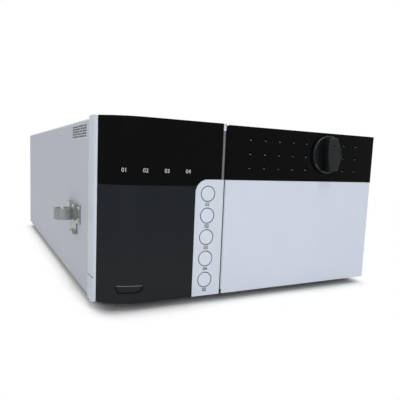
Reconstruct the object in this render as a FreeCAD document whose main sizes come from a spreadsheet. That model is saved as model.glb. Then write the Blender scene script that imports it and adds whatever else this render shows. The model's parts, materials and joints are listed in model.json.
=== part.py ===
import FreeCAD, Part
import math
import os
import re

import Sketcher
from FreeCAD import Rotation, Vector

# Solvent delivery module of a liquid chromatography system: a flat bench unit with a hinged front door.
# Driving sizes in millimetres and degrees. X runs right along the front, Y to the back, Z up from the bench.
sizes = {
    # case
    "case_width": 260.0,
    "case_depth": 420.0,
    "foot_height": 6.0,
    "front_height": 134.3,
    "case_drop": 1.0,
    "case_rise": 1.2,
    "case_inset": 0.6,
    "cover_sheet": 1.2,
    "cover_bend": 2.4,
    "base_sheet": 1.5,
    "base_flange": 22.0,
    "fit_gap": 0.3,
    "lap": 0.3,
    "through": 1.0,
    "floor_vent_first": -40.0,
    "floor_vent_pitch": 14.0,
    "floor_vent_width": 6.0,
    "floor_vent_length": 25.0,
    # front frame
    "bezel_depth": 28.0,
    "bezel_front": 14.5,
    "rail_wall": 3.0,
    "carrier_wall": 2.5,
    "post_width": 9.7,
    "parting_height": 18.0,
    "parting_width": 0.6,
    "parting_depth": 0.4,
    # left section of the front
    "left_section": 99.6,
    "seam_gap": 0.8,
    "curve_radius": 40.0,
    "curve_length": 34.0,
    "panel_thick": 2.5,
    "panel_gap": 0.15,
    "window_height": 48.1,
    "band_height": 43.1,
    "column_width": 24.6,
    "column_corner": 10.0,
    "trim_width": 2.4,
    "trim_drop": 5.5,
    "trim_edge": 0.4,
    "trim_round": 0.8,
    "display_width": 48.0,
    "display_height": 27.0,
    "display_depth": 8.0,
    "display_lap": 2.5,
    "display_from_trim": 4.0,
    "display_lift": 7.0,
    "glass_inset": 0.8,
    "glass_margin": 2.0,
    # keys
    "key_radius": 5.7,
    "key_gap": 0.3,
    "key_first": 12.8,
    "key_top": 10.92,
    "key_inset": 14.7,
    "key_proud": 0.4,
    "key_travel": 1.0,
    "key_flange": 0.9,
    "key_lip": 0.6,
    "key_edge": 0.5,
    "key_stem": 2.0,
    "key_stem_length": 3.6,
    "switch_gap": 0.25,
    "switch_size": 6.2,
    "switch_height": 3.2,
    "board_thick": 1.6,
    "boss_radius": 2.2,
    "boss_offset": 6.4,
    "board_margin": 7.0,
    "board_half": 9.0,
    # power button
    "scoop_from_side": 24.6,
    "scoop_rise": 10.4,
    "scoop_length": 20.4,
    "scoop_height": 5.8,
    "scoop_depth": 1.2,
    "boat_lip": 0.6,
    "boat_shoulder": 1.4,
    "boat_bow": 1.8,
    "boat_stern": 5.0,
    "boat_heel": 1.2,
    "boat_step": 2.0,
    "button_gap": 0.35,
    "button_travel": 2.2,
    "button_flange": 3.5,
    "button_flange_thick": 2.0,
    "button_flange_lip": 1.0,
    "button_flange_gap": 1.5,
    "button_slot_gap": 2.0,
    "button_seat": 9.8,
    "power_switch_length": 10.0,
    "power_switch_width": 13.0,
    "power_switch_height": 13.0,
    "plunger_length": 3.0,
    "plunger_width": 5.0,
    "plunger_height": 4.0,
    # door
    "door_drop": 0.7,
    "door_wall": 3.0,
    "door_rim": 2.2,
    "door_edge": 1.0,
    "rim_offset": 3.5,
    "knuckle_radius": 2.9,
    "pin_radius": 0.9,
    "pin_length": 9.0,
    "pin_play": 0.05,
    "pin_fit": 0.03,
    "leaf_thick": 2.5,
    "leaf_radius": 1.9,
    "leaf_neck": 0.6,
    "leaf_gap": 0.35,
    "leaf_flange": 9.0,
    "leaf_sheet": 1.2,
    "band_thick": 1.5,
    "band_edge": 0.6,
    "dimple_pitch_x": 14.4,
    "dimple_pitch_z": 11.25,
    "dimple_first_x": 22.2,
    "dimple_drop": 10.3,
    "dimple_radius": 1.3,
    "dimple_depth": 0.9,
    "dimple_taper": 35.0,
    "knob_hole_gap": 0.8,
    "collar_wall": 1.4,
    "collar_height": 4.0,
    "rib_wall": 1.4,
    "rib_height": 5.0,
    "rib_pitch": 38.0,
    "rib_first": 12.0,
    "rib_end_gap": 2.0,
    "strike_width": 12.0,
    "strike_height": 22.0,
    "strike_thick": 1.2,
    "strike_margin": 1.0,
    "magnet_trim": 3.0,
    "magnet_gap": 0.5,
    # drain valve and its knob
    "knob_from_right": 58.2,
    "knob_top_gap": 3.0,
    "knob_radius": 16.5,
    "knob_skirt": 2.8,
    "knob_back": 1.5,
    "knob_bevel": 0.7,
    "knob_rim": 1.5,
    "knob_dish": 0.6,
    "knob_reach": 10.0,
    "grip_half_width": 6.4,
    "grip_end_width": 4.6,
    "grip_half_height": 14.0,
    "grip_round": 1.0,
    "pointer_radius": 0.9,
    "pointer_depth": 0.7,
    "knob_lean": 5.0,
    "knob_boss": 8.0,
    "knob_boss_length": 9.0,
    "stem_radius": 4.0,
    "valve_size": 30.0,
    "valve_depth": 18.0,
    "valve_boss": 9.0,
    "valve_boss_length": 6.0,
    "stem_sink": 10.0,
    "stem_play": 0.05,
    "stem_end_gap": 0.3,
    # liquid compartment
    "wet_panel_back": 58.0,
    "wet_sheet": 1.2,
    "divider_gap": 3.2,
    "tray_height": 12.0,
    "tray_wall": 2.0,
    "gland_radius": 5.0,
    "gland_x": 9.0,
    "gland_z": 18.0,
    "sensor_size": 9.0,
    "sensor_from_divider": 16.0,
    "sensor_from_panel": 14.0,
    "sensor_slot": 3.0,
    "head_drop": 29.2,
    "head_from_knob": 23.0,
    "head_pitch": 33.0,
    "head_width": 30.0,
    "head_height": 46.0,
    "head_depth": 26.0,
    "head_chamfer": 5.0,
    "face_depth": 1.2,
    "face_margin": 8.0,
    "spigot_radius": 13.0,
    "spigot_length": 5.0,
    "spigot_gap": 0.4,
    "head_screw_radius": 4.2,
    "head_screw_height": 4.5,
    "head_screw_inset": 7.5,
    "socket_radius": 2.0,
    "socket_depth": 2.5,
    "check_hex": 12.0,
    "check_height": 12.0,
    "nut_radius": 4.2,
    "nut_height": 6.0,
    "tube_radius": 0.8,
    "tube_bend": 4.0,
    "tube_front_gap": 2.5,
    "sensor_tube_offset": 9.0,
    "manifold_size": 10.0,
    "pressure_size": 24.0,
    "pressure_depth": 20.0,
    "pressure_drop": 48.8,
    "cell_length": 5.0,
    "cell_margin": 3.0,
    "pressure_from_right": 26.0,
    "filter_radius": 6.5,
    "filter_height": 14.0,
    "filter_gap": 7.0,
    "filter_edge": 1.5,
    "filter_taper": 3.0,
    "filter_neck": 2.5,
    # drive
    "drive_width": 88.0,
    "drive_length": 78.0,
    "drive_low": 16.0,
    "drive_arch": 7.0,
    "drive_foot": 14.0,
    "drive_top": 94.0,
    "fin_first": 16.0,
    "fin_pitch": 11.0,
    "fin_gap": 5.0,
    "fin_depth": 4.0,
    "motor_size": 56.0,
    "motor_length": 54.0,
    "motor_corner": 9.0,
    "motor_boss": 11.0,
    "motor_boss_length": 4.0,
    # electronics
    "side_gap": 4.0,
    "supply_width": 90.0,
    "supply_length": 125.0,
    "supply_height": 42.0,
    "supply_start": 185.0,
    "supply_slot": 3.0,
    "supply_slot_pitch": 9.0,
    "supply_slot_first": 18.0,
    "supply_slot_margin": 12.0,
    "supply_slot_depth": 3.0,
    "main_width": 120.0,
    "main_length": 150.0,
    "main_from_rear": 35.0,
    "main_rise": 12.0,
    "chip_height": 6.0,
    "standoff_radius": 3.0,
    "standoff_inset": 6.0,
    # rear
    "fan_size": 60.0,
    "fan_depth": 15.0,
    "fan_bore": 28.0,
    "fan_hub": 12.5,
    "fan_tip_gap": 2.0,
    "fan_shaft": 1.5,
    "fan_play": 0.05,
    "fan_screw_inset": 5.0,
    "rotor_gap": 0.4,
    "rotor_recess": 1.0,
    "shaft_start": 0.3,
    "fan_from_left": 62.0,
    "fan_rise": 74.0,
    "fan_arm": 3.0,
    "fan_plate": 2.0,
    "vane_root": 2.0,
    "blade_thick": 1.3,
    "blade_depth": 8.0,
    "blade_pitch_angle": 32.0,
    "grille_slot": 4.0,
    "grille_pitch": 6.6,
    "grille_margin": 2.0,
    "inlet_from_right": 45.0,
    "inlet_rise": 32.0,
    "inlet_width": 27.0,
    "inlet_height": 19.6,
    "inlet_cavity": 15.0,
    "inlet_depth": 21.0,
    "inlet_flange_width": 48.0,
    "inlet_flange": 2.4,
    "inlet_flange_lip": 1.2,
    "inlet_screw_inset": 4.0,
    "inlet_wall": 1.4,
    "blade_width": 4.0,
    "blade_height": 2.0,
    "blade_spread": 7.0,
    "blade_low": 3.0,
    "blade_high": 1.0,
    "blade_short": 3.0,
    "link_width": 31.0,
    "link_height": 12.5,
    "link_reach": 5.0,
    "link_depth": 10.0,
    "link_flange": 1.0,
    "link_body_width": 23.0,
    "link_body_height": 7.5,
    "link_body_gap": 1.0,
    "link_shell_width": 19.0,
    "link_shell_height": 8.5,
    "link_shell_slope": 1.0,
    "link_from_right": 108.0,
    "vent_slot": 3.0,
    "vent_pitch": 8.0,
    "vent_height": 40.0,
    "vent_offset": 10.0,
    "vent_drop": 12.0,
    "screw_gap": 0.1,
    "screw_inset_x": 12.0,
    "screw_inset_z": 10.0,
    "small_screw": 1.5,
    "small_head": 2.9,
    "small_head_height": 1.6,
    "small_screw_length": 7.0,
    # feet
    "foot_radius": 9.5,
    "foot_bevel": 1.2,
    "foot_inset_x": 25.0,
    "foot_inset_y": 44.0,
    "foot_stud": 2.4,
    "stud_gap": 0.1,
    # tube ring on the left side
    "ring_reach": 17.6,
    "ring_outer": 8.5,
    "ring_inner": 7.3,
    "ring_height": 9.2,
    "ring_rise": 58.4,
    "ring_back": 80.0,
    "ring_mouth": 2.4,
    "clip_sheet": 1.2,
    "clip_front": 56.0,
    "clip_back": 102.0,
    "clip_top": 13.2,
    "clip_drop": 2.0,
    "clip_pad": 2.2,
    "clip_pad_front": 67.0,
    "clip_screw_inset": 3.6,
    "clip_screw_low": 1.6,
    "clip_screw_drop": 3.4,
    "clip_head": 2.2,
    "clip_screw_height": 1.0,
    "strap_front": 68.0,
    "strap_width": 16.0,
    "strap_drop": 11.4,
    "hook_reach": 3.0,
    "hook_height": 2.0,
}

doc = FreeCAD.newDocument("SolventModule")
sheet = doc.addObject("Spreadsheet::Sheet", "Sizes")
for row, (name, value) in enumerate(sizes.items(), start=1):
    sheet.set(f"A{row}", name)
    sheet.set(f"B{row}", str(value))
    sheet.setAlias(f"B{row}", name)
doc.recompute()

size_word = re.compile(r"[a-z_][a-z0-9_]*")

# Places that several pieces share, as formulas of the sizes.
left = "(-case_width / 2)"
right = "(case_width / 2)"
front_low = "foot_height"
front_top = "(foot_height + front_height)"
case_low = "(foot_height + case_rise)"
case_top = "(foot_height + front_height - case_drop)"
case_side = "(case_width / 2 - case_inset)"
floor_top = "(foot_height + case_rise + base_sheet)"
seam = "(-case_width / 2 + left_section)"
left_end = "(-case_width / 2 + left_section - seam_gap)"
door_top = "(foot_height + front_height - door_drop)"
band_low = "(foot_height + front_height - band_height)"
window_low = "(foot_height + front_height - window_height)"
bend_x = "(-case_width / 2 + curve_length)"
rim_x = "(-case_width / 2 + rail_wall)"
column_left = "(-case_width / 2 + left_section - seam_gap - column_width)"
key_x = "(-case_width / 2 + left_section - key_inset)"
hinge_x = "(-case_width / 2 + left_section + knuckle_radius)"
knob_x = "(case_width / 2 - knob_from_right)"
knob_z = "(foot_height + front_height - knob_top_gap - knob_radius)"
divider_x = "(-case_width / 2 + left_section + divider_gap)"
wet_right = "(case_width / 2 - case_inset - cover_sheet - base_sheet - 2 * fit_gap)"
head_x = "(case_width / 2 - knob_from_right - head_from_knob - head_pitch)"
head_z = "(foot_height + front_height - band_height - head_drop)"
drive_x = "(case_width / 2 - knob_from_right - head_from_knob - head_pitch / 2)"
drive_front = "(wet_panel_back + wet_sheet + fit_gap)"
drive_back = "(wet_panel_back + wet_sheet + fit_gap + drive_length)"
pressure_x = "(case_width / 2 - pressure_from_right)"
pressure_z = "(foot_height + front_height - knob_top_gap - knob_radius - pressure_drop)"
tube_y = "(wet_panel_back - head_depth / 2)"
fan_x = "(-case_width / 2 + fan_from_left)"
fan_z = "(foot_height + fan_rise)"
fan_front = "(case_depth - cover_sheet - fan_depth)"
inlet_x = "(case_width / 2 - inlet_from_right)"
inlet_z = "(foot_height + inlet_rise)"
link_x = "(case_width / 2 - link_from_right)"
ring_x = "(-case_width / 2 + case_inset - ring_reach + ring_outer)"
scoop_x = "(-case_width / 2 + scoop_from_side)"
scoop_z = "(foot_height + scoop_rise)"
key_pitch = "((front_height - band_height - key_first - key_top) / 4)"
main_start = "(case_depth - main_from_rear - main_length)"
board_side = "(case_width / 2 - case_inset - cover_sheet - fit_gap - base_sheet - side_gap)"

# The origin is on the bench, under the middle of the whole unit.
shift_x = "((ring_reach - case_inset) / 2)"
shift_y = "(-(case_depth + link_reach - knob_reach) / 2)"

# Two places nearer than this are the same.
near = 0.01
views = {"top": ("XY_Plane", 1), "front": ("XZ_Plane", -1), "side": ("YZ_Plane", 1)}
parts = []


def bound(text):
    """The formula with each size read from the sheet."""
    def read(found):
        word = found.group()
        return "Sizes." + word if word in sizes else word
    return size_word.sub(read, text)


def worth(text):
    """The formula's present value."""
    return float(sheet.evalExpression(bound(text)))


def new_part(name):
    body = doc.addObject("PartDesign::Body", name)
    body.Label = name
    body.AllowCompound = True
    parts.append(body)
    return body


def place(part, x="0", y="0", z="0"):
    """Sets a sub-part in the unit, measured from the middle of the front's foot line."""
    part.setExpression("Placement.Base.x", bound(f"{x} + {shift_x}"))
    part.setExpression("Placement.Base.y", bound(f"{y} + {shift_y}"))
    part.setExpression("Placement.Base.z", bound(z))


def new_sketch(body, name, view, at):
    role, sign = views[view]
    plane = next(item for item in body.Origin.OriginFeatures if item.Role == role)
    sketch = body.newObject("Sketcher::SketchObject", name)
    sketch.AttachmentSupport = [(plane, "")]
    sketch.MapMode = "FlatFace"
    sketch.setExpression("AttachmentOffset.Base.z", bound(f"{sign} * ({at})"))
    return sketch


def tie(sketch, kind, where, text):
    index = sketch.addConstraint(Sketcher.Constraint(kind, *where, worth(text)))
    sketch.setExpression(f"Constraints[{index}]", bound(text))


def tie_point(sketch, edge, point, x, y):
    tie(sketch, "DistanceX", (-1, 1, edge, point), x)
    tie(sketch, "DistanceY", (-1, 1, edge, point), y)


def contour(sketch, spots, arcs=None):
    """Draws a closed outline. An arc after a spot is (centre x, centre y, radius, 1 or -1 for its turn)."""
    arcs = arcs or {}
    count = len(spots)
    points = [Vector(worth(x), worth(y), 0) for x, y in spots]
    starts = {}
    ends = {}
    centres = {}
    for step in range(count):
        here = points[step]
        there = points[(step + 1) % count]
        if step not in arcs:
            edge = sketch.addGeometry(Part.LineSegment(here, there))
            starts[step] = (edge, 1)
            ends[step] = (edge, 2)
            continue
        centre_x, centre_y, radius, turn = arcs[step]
        centre = Vector(worth(centre_x), worth(centre_y), 0)
        first, last = (here, there) if turn > 0 else (there, here)
        low = math.atan2(first.y - centre.y, first.x - centre.x)
        high = math.atan2(last.y - centre.y, last.x - centre.x)
        if high <= low:
            high += 2 * math.pi
        circle = Part.Circle(centre, Vector(0, 0, 1), worth(radius))
        edge = sketch.addGeometry(Part.ArcOfCircle(circle, low, high))
        starts[step] = (edge, 1 if turn > 0 else 2)
        ends[step] = (edge, 2 if turn > 0 else 1)
        tie_point(sketch, edge, 3, centre_x, centre_y)
        tie(sketch, "Radius", (edge,), radius)
        centres[step] = centre
        centres[(step + 1) % count] = centre
    for step in range(count):
        follower = starts[(step + 1) % count]
        sketch.addConstraint(Sketcher.Constraint("Coincident", *ends[step], *follower))
        x, y = spots[step]
        if step not in centres:
            tie_point(sketch, *starts[step], x, y)
            continue
        away = points[step] - centres[step]
        if abs(away.x) <= abs(away.y):
            tie(sketch, "DistanceX", (-1, 1, *starts[step]), x)
        else:
            tie(sketch, "DistanceY", (-1, 1, *starts[step]), y)


def rounds(sketch, circles):
    """Draws circles, each (x, y, radius)."""
    for x, y, radius in circles:
        spot = Vector(worth(x), worth(y), 0)
        edge = sketch.addGeometry(Part.Circle(spot, Vector(0, 0, 1), worth(radius)))
        tie_point(sketch, edge, 3, x, y)
        tie(sketch, "Radius", (edge,), radius)


def rectangle(low_x, low_y, high_x, high_y):
    return [(low_x, low_y), (high_x, low_y), (high_x, high_y), (low_x, high_y)]


def about(x, y, width, height):
    """A rectangle about its middle."""
    return rectangle(f"{x} - {width} / 2", f"{y} - {height} / 2", f"{x} + {width} / 2", f"{y} + {height} / 2")


def grow(body, sketch, view, length):
    """Adds the sketch's outline, from its plane towards larger numbers."""
    pad = body.newObject("PartDesign::Pad", sketch.Name + "Pad")
    pad.Profile = sketch
    pad.Reversed = views[view][1] < 0
    pad.setExpression("Length", bound(length))
    return pad


def carve(body, sketch, view, length):
    """Removes the sketch's outline, from its plane towards larger numbers."""
    pocket = body.newObject("PartDesign::Pocket", sketch.Name + "Pocket")
    pocket.Profile = sketch
    pocket.Reversed = views[view][1] > 0
    pocket.setExpression("Length", bound(length))
    return pocket


def add(body, name, view, at, length, spots, arcs=None):
    sketch = new_sketch(body, body.Name + name, view, at)
    contour(sketch, spots, arcs)
    return grow(body, sketch, view, length)


def cut(body, name, view, at, length, spots, arcs=None):
    sketch = new_sketch(body, body.Name + name, view, at)
    contour(sketch, spots, arcs)
    return carve(body, sketch, view, length)


def cut_many(body, name, view, at, length, outlines):
    sketch = new_sketch(body, body.Name + name, view, at)
    for spots in outlines:
        contour(sketch, spots)
    return carve(body, sketch, view, length)


def add_rounds(body, name, view, at, length, circles):
    sketch = new_sketch(body, body.Name + name, view, at)
    rounds(sketch, circles)
    return grow(body, sketch, view, length)


def cut_rounds(body, name, view, at, length, circles):
    sketch = new_sketch(body, body.Name + name, view, at)
    rounds(sketch, circles)
    return carve(body, sketch, view, length)


def turn(body, name, view, spots, arcs=None):
    """Turns an outline about its sketch's upright axis."""
    sketch = new_sketch(body, body.Name + name, view, "0")
    contour(sketch, spots, arcs)
    revolution = body.newObject("PartDesign::Revolution", sketch.Name + "Turn")
    revolution.Profile = sketch
    revolution.ReferenceAxis = (sketch, ["V_Axis"])
    revolution.Angle = 360
    return revolution


def soften(body, base, radius, wanted, chamfer=False):
    """Rounds or bevels the edges of a feature that the test wanted picks."""
    doc.recompute()
    names = [f"Edge{place_no}" for place_no, edge in enumerate(base.Shape.Edges, start=1) if wanted(edge)]
    kind = "PartDesign::Chamfer" if chamfer else "PartDesign::Fillet"
    feature = body.newObject(kind, base.Name + "Soft")
    feature.Base = (base, names)
    feature.setExpression("Size" if chamfer else "Radius", bound(radius))
    return feature


def sagitta(offset):
    """How far behind the flat the curved front lies at the rim, for a surface set back by the offset."""
    return f"(curve_radius - sqrt((curve_radius - {offset})^2 - ({bend_x} - {rim_x})^2))"


def curved_slab(end_x, front_set, back_set):
    """Plan of a slab of the left front: flat from end_x to the bend, then curved back to the rim."""
    spots = [
        (end_x, front_set),
        (bend_x, front_set),
        (rim_x, sagitta(front_set)),
        (rim_x, sagitta(back_set)),
        (bend_x, back_set),
        (end_x, back_set),
    ]
    arcs = {
        1: (bend_x, "curve_radius", f"curve_radius - {front_set}", -1),
        3: (bend_x, "curve_radius", f"curve_radius - {back_set}", 1),
    }
    return spots, arcs


def key_column(gap):
    """Front outline of the key column, with its rounded upper left corner, grown by the gap."""
    low_x = f"({column_left} - {gap})"
    corner_x = f"({column_left} + column_corner)"
    corner_z = f"({band_low} - column_corner)"
    top = f"({band_low} + {gap})"
    spots = [
        (low_x, f"{front_low} - {gap}"),
        (f"{left_end} + {gap}", f"{front_low} - {gap}"),
        (f"{left_end} + {gap}", top),
        (corner_x, top),
        (low_x, corner_z),
    ]
    arcs = {3: (corner_x, corner_z, f"column_corner + {gap}", 1)}
    return spots, arcs


def key_places():
    return [f"({front_low} + key_first + {number} * {key_pitch})" for number in range(5)]


def boat(gap):
    """Front outline of the power button: flat on top, with a hull-shaped lower edge, shrunk by the gap."""
    half = f"(scoop_length / 2 - {gap})"
    top = f"({scoop_z} + scoop_height / 2 - {gap})"
    keel = f"({scoop_z} - scoop_height / 2 + {gap})"
    return [
        (f"{scoop_x} - {half} + boat_lip", top),
        (f"{scoop_x} - {half}", f"{top} - boat_shoulder"),
        (f"{scoop_x} - {half} + boat_bow", keel),
        (f"{scoop_x} + {half} - boat_stern", keel),
        (f"{scoop_x} + {half} - boat_heel", f"{keel} + boat_step"),
        (f"{scoop_x} + {half}", top),
    ]


def base_chassis():
    part = new_part("base_chassis")
    inner = f"({case_side} - cover_sheet - fit_gap)"
    low_y = "(bezel_depth + fit_gap)"
    high_y = "(case_depth - cover_sheet)"
    add(part, "Tray", "top", case_low, "base_flange", rectangle(f"-{inner}", low_y, inner, high_y))
    trough = rectangle(f"-{inner} + base_sheet", f"{low_y} - through",
                       f"{inner} - base_sheet", f"{high_y} + through")
    cut(part, "Trough", "top", floor_top, "base_flange", trough)
    studs = [(x, y, "foot_stud + stud_gap") for x, y in foot_places()]
    cut_rounds(part, "Studs", "top", case_low, "base_sheet", studs)
    slots = []
    for number in range(6):
        x = f"(floor_vent_first + {number} * floor_vent_pitch)"
        slots.append(about(x, "(case_depth / 2)", "floor_vent_width", "floor_vent_length"))
    cut_many(part, "Vents", "top", case_low, "base_sheet", slots)
    place(part)


def foot_places():
    columns = ["(-case_width / 2 + foot_inset_x)", "(case_width / 2 - foot_inset_x)"]
    rows = ["foot_inset_y", "(case_depth - foot_inset_y)"]
    return [(x, y) for y in rows for x in columns]


def feet():
    part = new_part("feet")
    places = foot_places()
    pads = add_rounds(part, "Pads", "top", "0", case_low, [(x, y, "foot_radius") for x, y in places])
    soften(part, pads, "foot_bevel", lambda edge: edge.BoundBox.ZMax < near, chamfer=True)
    studs = [(x, y, "foot_stud") for x, y in places]
    add_rounds(part, "Studs", "top", f"{case_low} - lap", "base_sheet + lap", studs)
    place(part)


def top_cover():
    part = new_part("top_cover")
    side = case_side
    inner = f"({case_side} - cover_sheet)"
    under = f"({case_top} - cover_sheet)"
    outer_bend = "cover_bend"
    inner_bend = "(cover_bend - cover_sheet)"
    spots = [
        (f"-{side}", case_low),
        (f"-{inner}", case_low),
        (f"-{inner}", f"{under} - {inner_bend}"),
        (f"-{inner} + {inner_bend}", under),
        (f"{inner} - {inner_bend}", under),
        (inner, f"{under} - {inner_bend}"),
        (inner, case_low),
        (side, case_low),
        (side, f"{case_top} - {outer_bend}"),
        (f"{side} - {outer_bend}", case_top),
        (f"-{side} + {outer_bend}", case_top),
        (f"-{side}", f"{case_top} - {outer_bend}"),
    ]
    arcs = {
        2: (f"-{inner} + {inner_bend}", f"{under} - {inner_bend}", inner_bend, -1),
        4: (f"{inner} - {inner_bend}", f"{under} - {inner_bend}", inner_bend, -1),
        8: (f"{side} - {outer_bend}", f"{case_top} - {outer_bend}", outer_bend, 1),
        10: (f"-{side} + {outer_bend}", f"{case_top} - {outer_bend}", outer_bend, 1),
    }
    add(part, "Fold", "front", "bezel_depth + fit_gap", "case_depth - bezel_depth - fit_gap", spots, arcs)
    place(part)


def rear_panel():
    part = new_part("rear_panel")
    half = f"({case_side} - cover_sheet - fit_gap)"
    top_z = f"({case_top} - cover_sheet - fit_gap)"
    at = "case_depth - cover_sheet"
    spots = [
        (f"-{half}", case_low),
        (half, case_low),
        (half, f"{top_z} - cover_bend"),
        (f"{half} - cover_bend", top_z),
        (f"-{half} + cover_bend", top_z),
        (f"-{half}", f"{top_z} - cover_bend"),
    ]
    add(part, "Sheet", "front", at, "cover_sheet", spots)
    slots = []
    for number in range(-3, 4):
        offset = f"({number} * grille_pitch)"
        reach = f"sqrt((fan_bore - grille_margin)^2 - {offset}^2)"
        slots.append(rectangle(f"{fan_x} - {reach}", f"{fan_z} + {offset} - grille_slot / 2",
                               f"{fan_x} + {reach}", f"{fan_z} + {offset} + grille_slot / 2"))
    for number in range(6):
        x = f"({link_x} + vent_offset + {number} * vent_pitch)"
        slots.append(about(x, f"({top_z} - vent_height / 2 - vent_drop)", "vent_slot", "vent_height"))
    slots.append(about(inlet_x, inlet_z, "(inlet_width + 2 * fit_gap)", "(inlet_height + 2 * fit_gap)"))
    link_hole = ("(link_body_width + 2 * link_body_gap)", "(link_body_height + 2 * link_body_gap)")
    slots.append(about(link_x, inlet_z, *link_hole))
    cut_many(part, "Openings", "front", at, "cover_sheet", slots)
    spots = rear_screw_places() + fan_screw_places() + inlet_screw_places()
    holes = [(x, z, "small_screw + screw_gap") for x, z in spots]
    cut_rounds(part, "Holes", "front", at, "cover_sheet", holes)
    place(part)


def rear_screw_places():
    return [
        (f"(-{case_side} + screw_inset_x)", f"({case_low} + screw_inset_z)"),
        (f"({case_side} - screw_inset_x)", f"({case_low} + screw_inset_z)"),
        (f"(-{case_side} + screw_inset_x)", f"({case_top} - screw_inset_z)"),
        (f"({case_side} - screw_inset_x)", f"({case_top} - screw_inset_z)"),
    ]


def fan_screw_places():
    pitch = "(fan_size / 2 - fan_screw_inset)"
    corners = [(-1, -1), (-1, 1), (1, -1), (1, 1)]
    return [(f"({fan_x} + {dx} * {pitch})", f"({fan_z} + {dz} * {pitch})") for dx, dz in corners]


def inlet_screw_places():
    reach = "(inlet_flange_width / 2 - inlet_screw_inset)"
    return [(f"({inlet_x} + {side} * {reach})", inlet_z) for side in (-1, 1)]


def rear_screws():
    """Pan-head screws driven from the back, heads outside: panel, fan and power inlet."""
    part = new_part("rear_screws")
    for name, at, spots in (("Panel", "case_depth", rear_screw_places() + fan_screw_places()),
                            ("Inlet", "(case_depth + inlet_flange)", inlet_screw_places())):
        heads = [(x, z, "small_head") for x, z in spots]
        shanks = [(x, z, "small_screw") for x, z in spots]
        add_rounds(part, name + "Heads", "front", at, "small_head_height", heads)
        add_rounds(part, name + "Shanks", "front", f"{at} - small_screw_length",
                   "small_screw_length + lap", shanks)
    place(part)


def front_bezel():
    part = new_part("front_bezel")
    block = [
        (left_end, "panel_thick"),
        (bend_x, "panel_thick"),
        (rim_x, sagitta("panel_thick")),
        (rim_x, sagitta("0")),
        (f"{left}", sagitta("0")),
        (f"{left}", "bezel_depth"),
        (left_end, "bezel_depth"),
    ]
    add(part, "LeftBlock", "top", front_low, "front_height", block,
        {1: (bend_x, "curve_radius", "curve_radius - panel_thick", -1)})
    frame = rectangle(f"{left_end} - through", "bezel_front", right, "bezel_depth")
    add(part, "RightBlock", "top", front_low, "front_height", frame)
    back_set = "(panel_thick + carrier_wall)"
    run = f"({bend_x} - {rim_x} - carrier_wall)"
    hollow = [
        (f"{left_end} - carrier_wall", back_set),
        (bend_x, back_set),
        (f"{rim_x} + carrier_wall", f"curve_radius - sqrt((curve_radius - {back_set})^2 - {run}^2)"),
        (f"{rim_x} + carrier_wall", "bezel_depth + through"),
        (f"{left_end} - carrier_wall", "bezel_depth + through"),
    ]
    cut(part, "LeftHollow", "top", f"{front_low} + carrier_wall", "front_height - 2 * carrier_wall", hollow,
        {1: (bend_x, "curve_radius", f"curve_radius - {back_set}", -1)})
    opening = rectangle(f"{left_end} + post_width - carrier_wall", f"{front_low} + rail_wall",
                        f"{right} - rail_wall", f"{front_top} - rail_wall")
    cut(part, "Compartment", "front", "bezel_front - through", "bezel_depth", opening)
    cut(part, "DisplayHole", "front", "panel_thick", "carrier_wall",
        about(display_x, display_z, "display_width", "display_height"))
    cut_rounds(part, "KeyHoles", "front", "panel_thick", "carrier_wall",
               [(key_x, z, "key_radius + key_lip + key_gap") for z in key_places()])
    slot = about(scoop_x, scoop_z, "(scoop_length + 2 * button_flange)",
                 "(scoop_height + 2 * button_slot_gap)")
    cut(part, "ButtonSlot", "front", "0", "bezel_front", slot)
    add(part, "TrimCap", "front", "0", "panel_thick + lap",
        rectangle(f"{left_end} - trim_width", f"{front_top} - trim_drop", left_end, front_top))
    bosses = []
    for side in (-1, 1):
        for spot in ("0.5", "3.5"):
            z = f"({front_low} + key_first + {spot} * {key_pitch})"
            bosses.append((f"({key_x} + {side} * boss_offset)", z, "boss_radius"))
    add_rounds(part, "Bosses", "front", f"{back_set} - lap", f"{board_front} - {back_set} + lap", bosses)
    groove = rectangle(f"{sagitta('0')} - through", f"{front_low} + parting_height",
                       "bezel_depth + through", f"{front_low} + parting_height + parting_width")
    cut(part, "PartingLine", "side", left, "parting_depth", groove)
    place(part)


display_x = f"({left_end} - carrier_wall - display_lap - display_width / 2 - display_from_trim)"
display_z = f"({band_low} + display_height / 2 + display_lift)"
key_back = "(panel_thick + key_gap + key_flange)"
stem_end = "(panel_thick + key_gap + key_flange + key_stem_length)"
switch_front = "(panel_thick + key_gap + key_flange + key_stem_length + key_travel + switch_gap)"
board_front = f"({switch_front} + switch_height)"


def display_window():
    part = new_part("display_window")
    low = f"{window_low} + panel_gap"
    spots, arcs = curved_slab(f"{left_end} - trim_width - panel_gap", "0", "panel_thick")
    add(part, "Slab", "top", low, f"{front_top} - ({low})", spots, arcs)
    spots, arcs = key_column("panel_gap")
    cut(part, "Corner", "front", "-through", "panel_thick + 2 * through", spots, arcs)
    place(part)


def lower_panel():
    part = new_part("lower_panel")
    spots, arcs = curved_slab(f"{column_left} + column_corner / 2", "0", "panel_thick")
    add(part, "Slab", "top", front_low, "front_height - window_height", spots, arcs)
    spots, arcs = key_column("panel_gap")
    cut(part, "Corner", "front", "-through", "panel_thick + 2 * through", spots, arcs)
    cut(part, "Scoop", "front", "-through", "bezel_front", boat("0"))
    place(part)


def key_plate():
    part = new_part("key_plate")
    spots, arcs = key_column("0")
    add(part, "Column", "front", "0", "panel_thick", spots, arcs)
    holes = [(key_x, z, "key_radius + key_gap") for z in key_places()]
    cut_rounds(part, "Holes", "front", "-through", "panel_thick + 2 * through", holes)
    place(part)


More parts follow.
